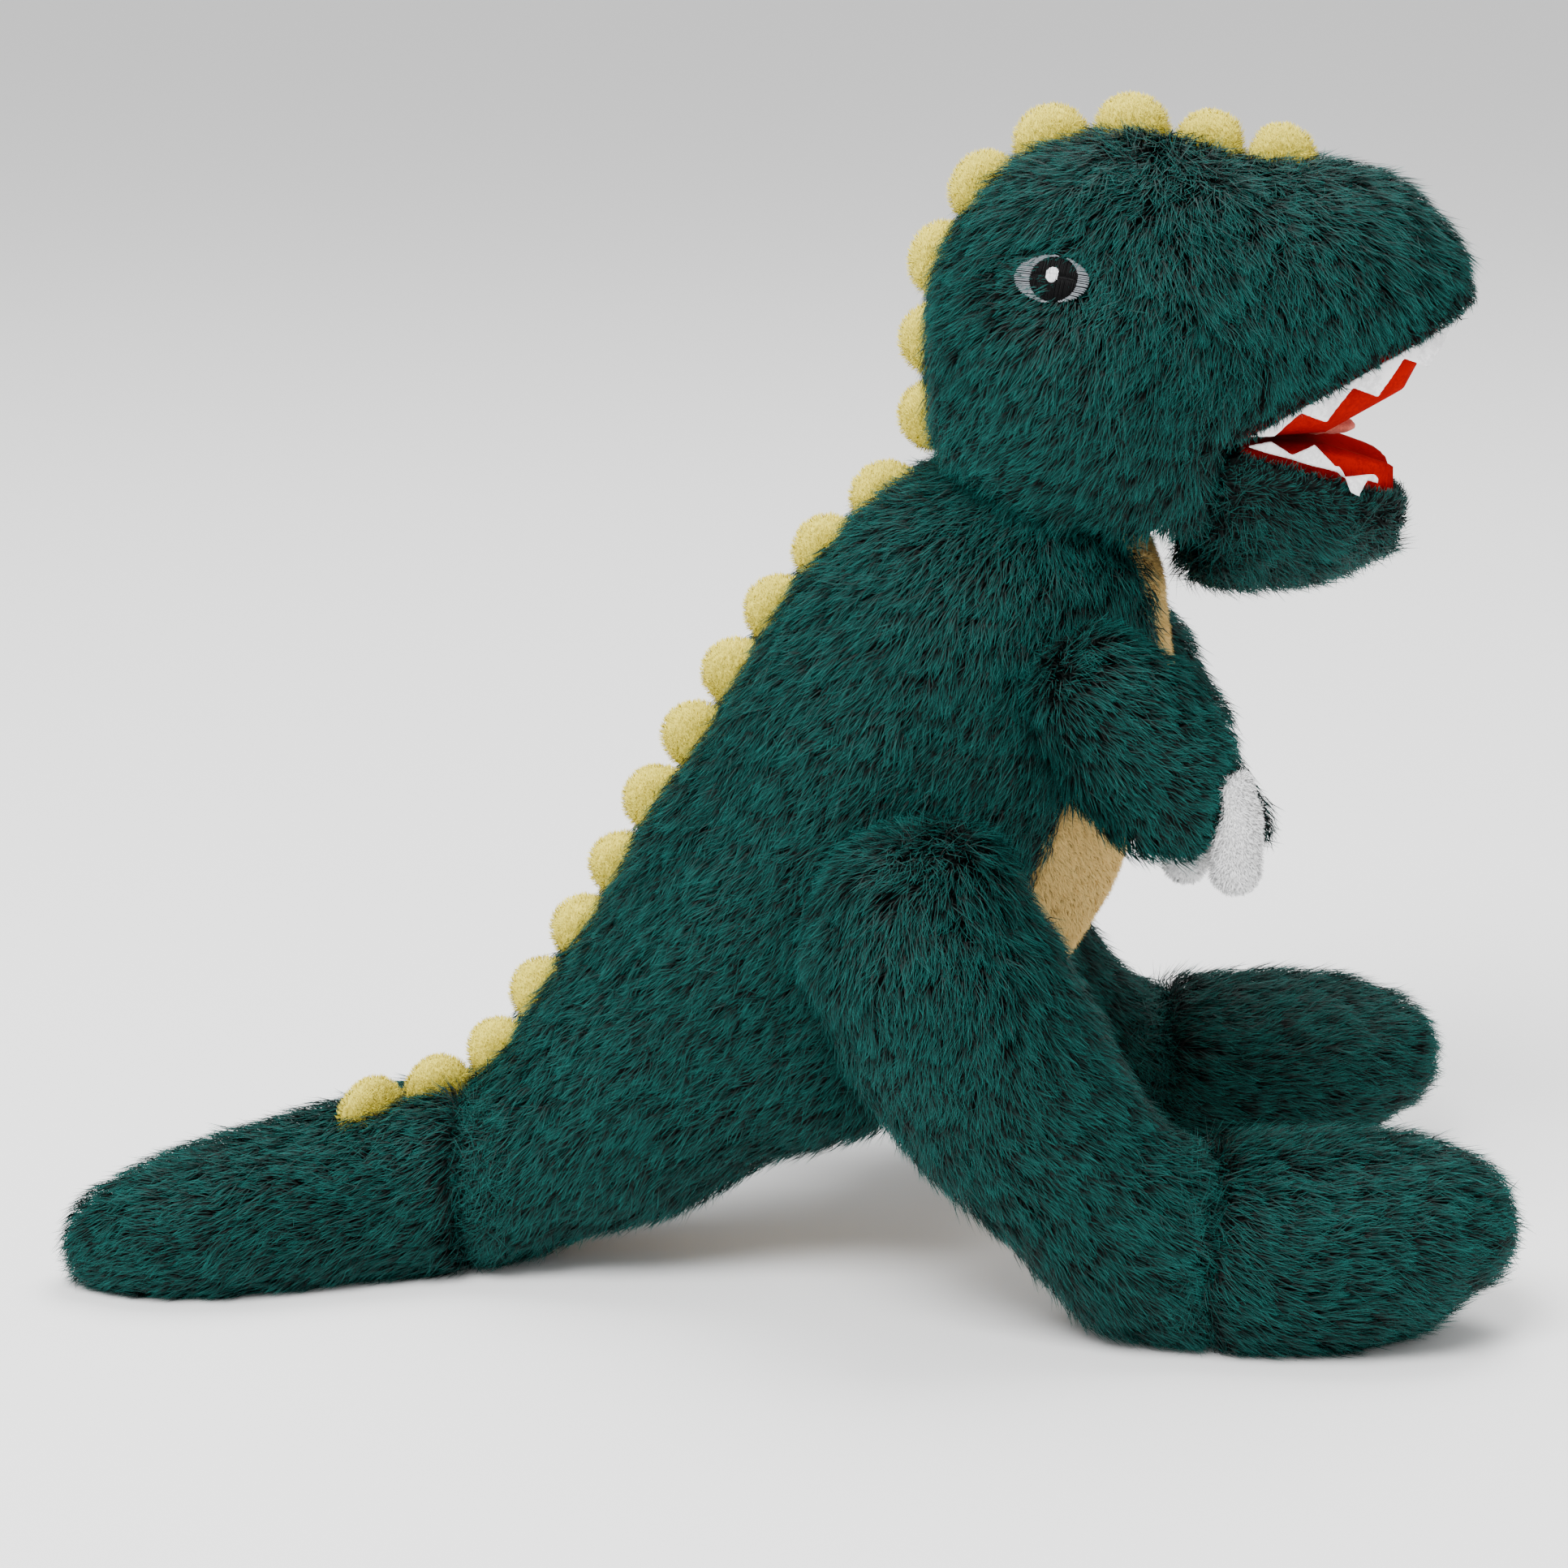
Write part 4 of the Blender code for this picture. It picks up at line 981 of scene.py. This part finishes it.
class PLUSH_OT_eyes(Builder):
    """Embroider the eyes in satin stitch"""

    bl_idname = "plush.eyes"
    bl_label = "Eyes"

    def build(self, context):
        black = self.thread("black_thread", colour("#010102"), 0.5)
        # the white thread is painted grey: painted shade over the white of the eye
        white = self.thread("white_thread", colour("#80858a"), 0.6)
        bright = self.thread("bright_thread", colour("#e6e8ec"), 0.6)
        for side, sign in SIDES:
            node = "eye_" + side
            points = points_of(frame["nodes"][node].data)
            middle = points.mean(axis=0)
            axes = np.linalg.svd(points - middle, full_matrices=False)[2]
            ahead = axes[0] * np.sign(axes[0][0])
            out = axes[2] * np.sign(axes[2][1]) * sign
            above = axes[1] * np.sign(axes[1][2])
            self.frame = middle, ahead, above, out
            pad = self.pad("eye_pad_" + side)
            dress(pad, "head", "tooth", [node])
            pad.data.materials[0] = black
            pupil = self.rows("pupil_" + side, *PUPIL, 0.0)
            white_part = self.rays("eye_white_" + side)
            glint = self.rows("eye_glint_" + side, *GLINT, GLINT_LIFT)
            for stitched, look in ((pupil, black), (white_part, white), (glint, bright)):
                stitched.data.materials.append(look)
                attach(stitched, "head")

    def thread(self, name, shade, roughness):
        """Rayon embroidery thread: twisted, with painted shade in the grooves of its twist and a silky
        line of light along each stitch.
        """
        look = Look(name)
        place = look.add("ShaderNodeTexCoord").outputs["Object"]
        twist = look.add("ShaderNodeTexNoise", [(place, "Vector")], Scale=TWIST_GRAIN, Detail=2.0)
        # darker in a noise of the twist's size: painted shade in the grooves of the twist
        tone = look.ramp(twist.outputs["Fac"], [(0.3, fade(shade, 0.75)), (0.7, shade)])
        look.feed(tone, "Base Color")
        look.set(Roughness=roughness, IOR=FIBRE_IOR, Specular_IOR_Level=0.1)
        return look.material

    def on_pad(self, u, v, lift=0.0):
        """A point on the padded oval, u toward the snout and v up."""
        middle, ahead, above, out = self.frame
        dome = np.sqrt(np.maximum(0.0, 1.0 - (u / DOME[0]) ** 2 - (v / DOME[1]) ** 2))
        rise = DOME_RISE * dome - DOME_SINK + lift
        return middle + np.outer(u, ahead) + np.outer(v, above) + np.outer(rise, out)

    def pad(self, name):
        """The black pad under the stitches: rings that close over the dome."""
        turns = np.linspace(0, 2 * math.pi, PAD_STEPS)[:-1]
        work = bmesh.new()
        rings = []
        for share, lift in PAD_RINGS:
            u, v = EYE[0] * share * np.cos(turns), EYE[1] * share * np.sin(turns)
            rings.append([work.verts.new(p) for p in self.on_pad(u, v, lift)])
        for inner, outer in zip(rings[1:], rings):
            for k in range(len(turns)):
                after = (k + 1) % len(turns)
                work.faces.new([outer[k], outer[after], inner[after], inner[k]])
        work.faces.new(rings[-1])
        work.faces.new(rings[0][::-1])
        bmesh.ops.recalc_face_normals(work, faces=work.faces)
        mesh = bpy.data.meshes.new(name)
        work.to_mesh(mesh)
        work.free()
        mesh.shade_smooth()
        return new_object(name, mesh)

    def sewn(self, name, stitches, radius, lift):
        """One mesh of rounded threads, each from one (u, v) to another over the pad. Their ends dip
        into the cloth."""
        rng = np.random.default_rng(zlib.crc32(name.encode()))
        sides, steps = 6, 7
        verts, faces = [], []
        for start, end in stitches:
            shares = np.linspace(0, 1, steps)
            wander = rng.normal(size=2) * 0.00006
            u = start[0] + (end[0] - start[0]) * shares + wander[0]
            v = start[1] + (end[1] - start[1]) * shares + wander[1]
            sink = np.where((shares == 0) | (shares == 1), -radius * 2.2, 0.0)
            out = self.frame[3]
            line = self.on_pad(u, v, 0.0) + np.outer(sink + lift + radius * 0.5, out)
            along = line[-1] - line[0]
            along /= max(np.linalg.norm(along), 1e-9)
            across = np.cross(along, out)
            base = len(verts)
            for point in line:
                for k in range(sides):
                    turn = 2 * math.pi * k / sides
                    verts.append(point + (across * math.cos(turn) + out * math.sin(turn)) * radius)
            for s in range(steps - 1):
                for k in range(sides):
                    a, b = base + s * sides + k, base + s * sides + (k + 1) % sides
                    faces.append([a, b, b + sides, a + sides])
            faces.append([base + k for k in range(sides)][::-1])
            faces.append([base + (steps - 1) * sides + k for k in range(sides)])
        mesh = bpy.data.meshes.new(name)
        mesh.from_pydata([tuple(p) for p in verts], [], faces)
        mesh.validate()
        mesh.shade_smooth()
        return new_object(name, mesh)

    def rows(self, name, middle, wide, tall, lift):
        """Upright stitches side by side that fill an oval, in two lengths that overlap."""
        stitches = []
        for u in np.arange(-wide, wide, PITCH):
            reach = tall * math.sqrt(max(0.0, 1.0 - (u / wide) ** 2))
            if reach > PITCH:
                for low, high in ((-reach, 0.15 * reach), (0.05 * reach, reach)):
                    start, end = (middle[0] + u, middle[1] + low), (middle[0] + u, middle[1] + high)
                    stitches.append((start, end))
        return self.sewn(name, stitches, PITCH * 0.62, lift)

    def rays(self, name):
        """Stitches that fan out from the pupil's edge to the rim of the white."""
        stitches = []
        for turn in np.linspace(0, 2 * math.pi, WHITE_STITCHES)[:-1]:
            across, up = math.cos(turn), math.sin(turn)
            rim = (WHITE_RIM[0] * across, WHITE_RIM[1] * up)
            inner = (PUPIL[0][0] + WHITE_INNER[0] * across, WHITE_INNER[1] * up)
            if math.dist(rim, inner) > SHORTEST:
                stitches.append((inner, rim))
        return self.sewn(name, stitches, 0.00020, 0.0)


SKY_LIGHT = 0.95
LENS, SENSOR = 107.67, 36.0  # millimetres
CAMERA_PLACE = (0.0021, -1.3216, 0.4495)
LOOK_DOWN = 13.29  # degrees
FLOOR_HALF = 6.0
AIM = (0.0, 0.0, 0.16)  # the lamps point at the toy's middle


class PLUSH_OT_stage(Builder):
    """Set the toy on a pale floor in soft light, seen from its right side and a little above"""

    bl_idname = "plush.stage"
    bl_label = "Stage"

    def build(self, context):
        scene = context.scene
        self.floor()
        world = bpy.data.worlds.new("white_room")
        world.use_nodes = True
        sky = world.node_tree.nodes["Background"].inputs
        sky["Color"].default_value = WHITE
        sky["Strength"].default_value = SKY_LIGHT
        scene.world = world
        self.softbox("key", (-0.5, -1.1, 1.8), 1.0, 70.0)
        self.softbox("top", (0.3, 0.6, 1.9), 1.2, 40.0)
        lens = bpy.data.cameras.new("camera")
        lens.lens = LENS
        lens.sensor_width = SENSOR
        camera = bpy.data.objects.new("camera", lens)
        camera.location = CAMERA_PLACE
        camera.rotation_euler = Euler((math.radians(90 - LOOK_DOWN), 0, 0))
        scene.collection.objects.link(camera)
        scene.camera = camera

    def floor(self):
        work = bmesh.new()
        bmesh.ops.create_grid(work, x_segments=1, y_segments=1, size=FLOOR_HALF)
        mesh = bpy.data.meshes.new("floor")
        work.to_mesh(mesh)
        work.free()
        floor = new_object("floor", mesh)
        look = Look("white_sweep")
        grain = look.add("ShaderNodeTexNoise", Scale=3.0)
        tone = look.ramp(grain.outputs["Fac"], [(0.0, colour("#f6f6f6")), (1.0, colour("#fbfbfb"))])
        look.feed(tone, "Base Color")
        look.set(Roughness=0.9)
        mesh.materials.append(look.material)

    def softbox(self, name, place, size, power):
        light = bpy.data.lights.new(name, "AREA")
        light.size = size
        light.energy = power
        lamp = bpy.data.objects.new(name, light)
        lamp.location = place
        aim = Vector(AIM) - Vector(place)
        lamp.rotation_euler = aim.to_track_quat("-Z", "Y").to_euler()
        bpy.context.scene.collection.objects.link(lamp)


class PLUSH_PT_panel(bpy.types.Panel):
    """The plush toy's sizes, colours and steps"""

    bl_idname = "PLUSH_PT_panel"
    bl_label = "Stuffed Dinosaur"
    bl_space_type = "VIEW_3D"
    bl_region_type = "UI"
    bl_category = "Plush"

    def draw(self, context):
        for group in (context.scene.plush_fur, context.scene.plush_cloth):
            for name in group.__annotations__:
                self.layout.prop(group, name)
        for step in STEPS:
            self.layout.operator(step.bl_idname)


STEPS = (
    PLUSH_OT_torso,
    PLUSH_OT_head,
    PLUSH_OT_jaw,
    PLUSH_OT_mouth,
    PLUSH_OT_tail,
    PLUSH_OT_arms,
    PLUSH_OT_legs,
    PLUSH_OT_crest,
    PLUSH_OT_eyes,
    PLUSH_OT_stage,
)
CLASSES = (FurSettings, PlushSettings, *STEPS, PLUSH_PT_panel)


def register():
    for made in CLASSES:
        bpy.utils.register_class(made)
    bpy.types.Scene.plush_fur = PointerProperty(type=FurSettings)
    bpy.types.Scene.plush_cloth = PointerProperty(type=PlushSettings)


def unregister():
    del bpy.types.Scene.plush_fur
    del bpy.types.Scene.plush_cloth
    for made in reversed(CLASSES):
        bpy.utils.unregister_class(made)


def main():
    register()
    for obj in [o for o in bpy.data.objects if o.name in ("Cube", "Light", "Camera")]:
        bpy.data.objects.remove(obj)  # of the start-up scene
    for step in STEPS:
        name = step.bl_idname.split(".")[1]
        getattr(bpy.ops.plush, name)()


if __name__ == "__main__":
    main()
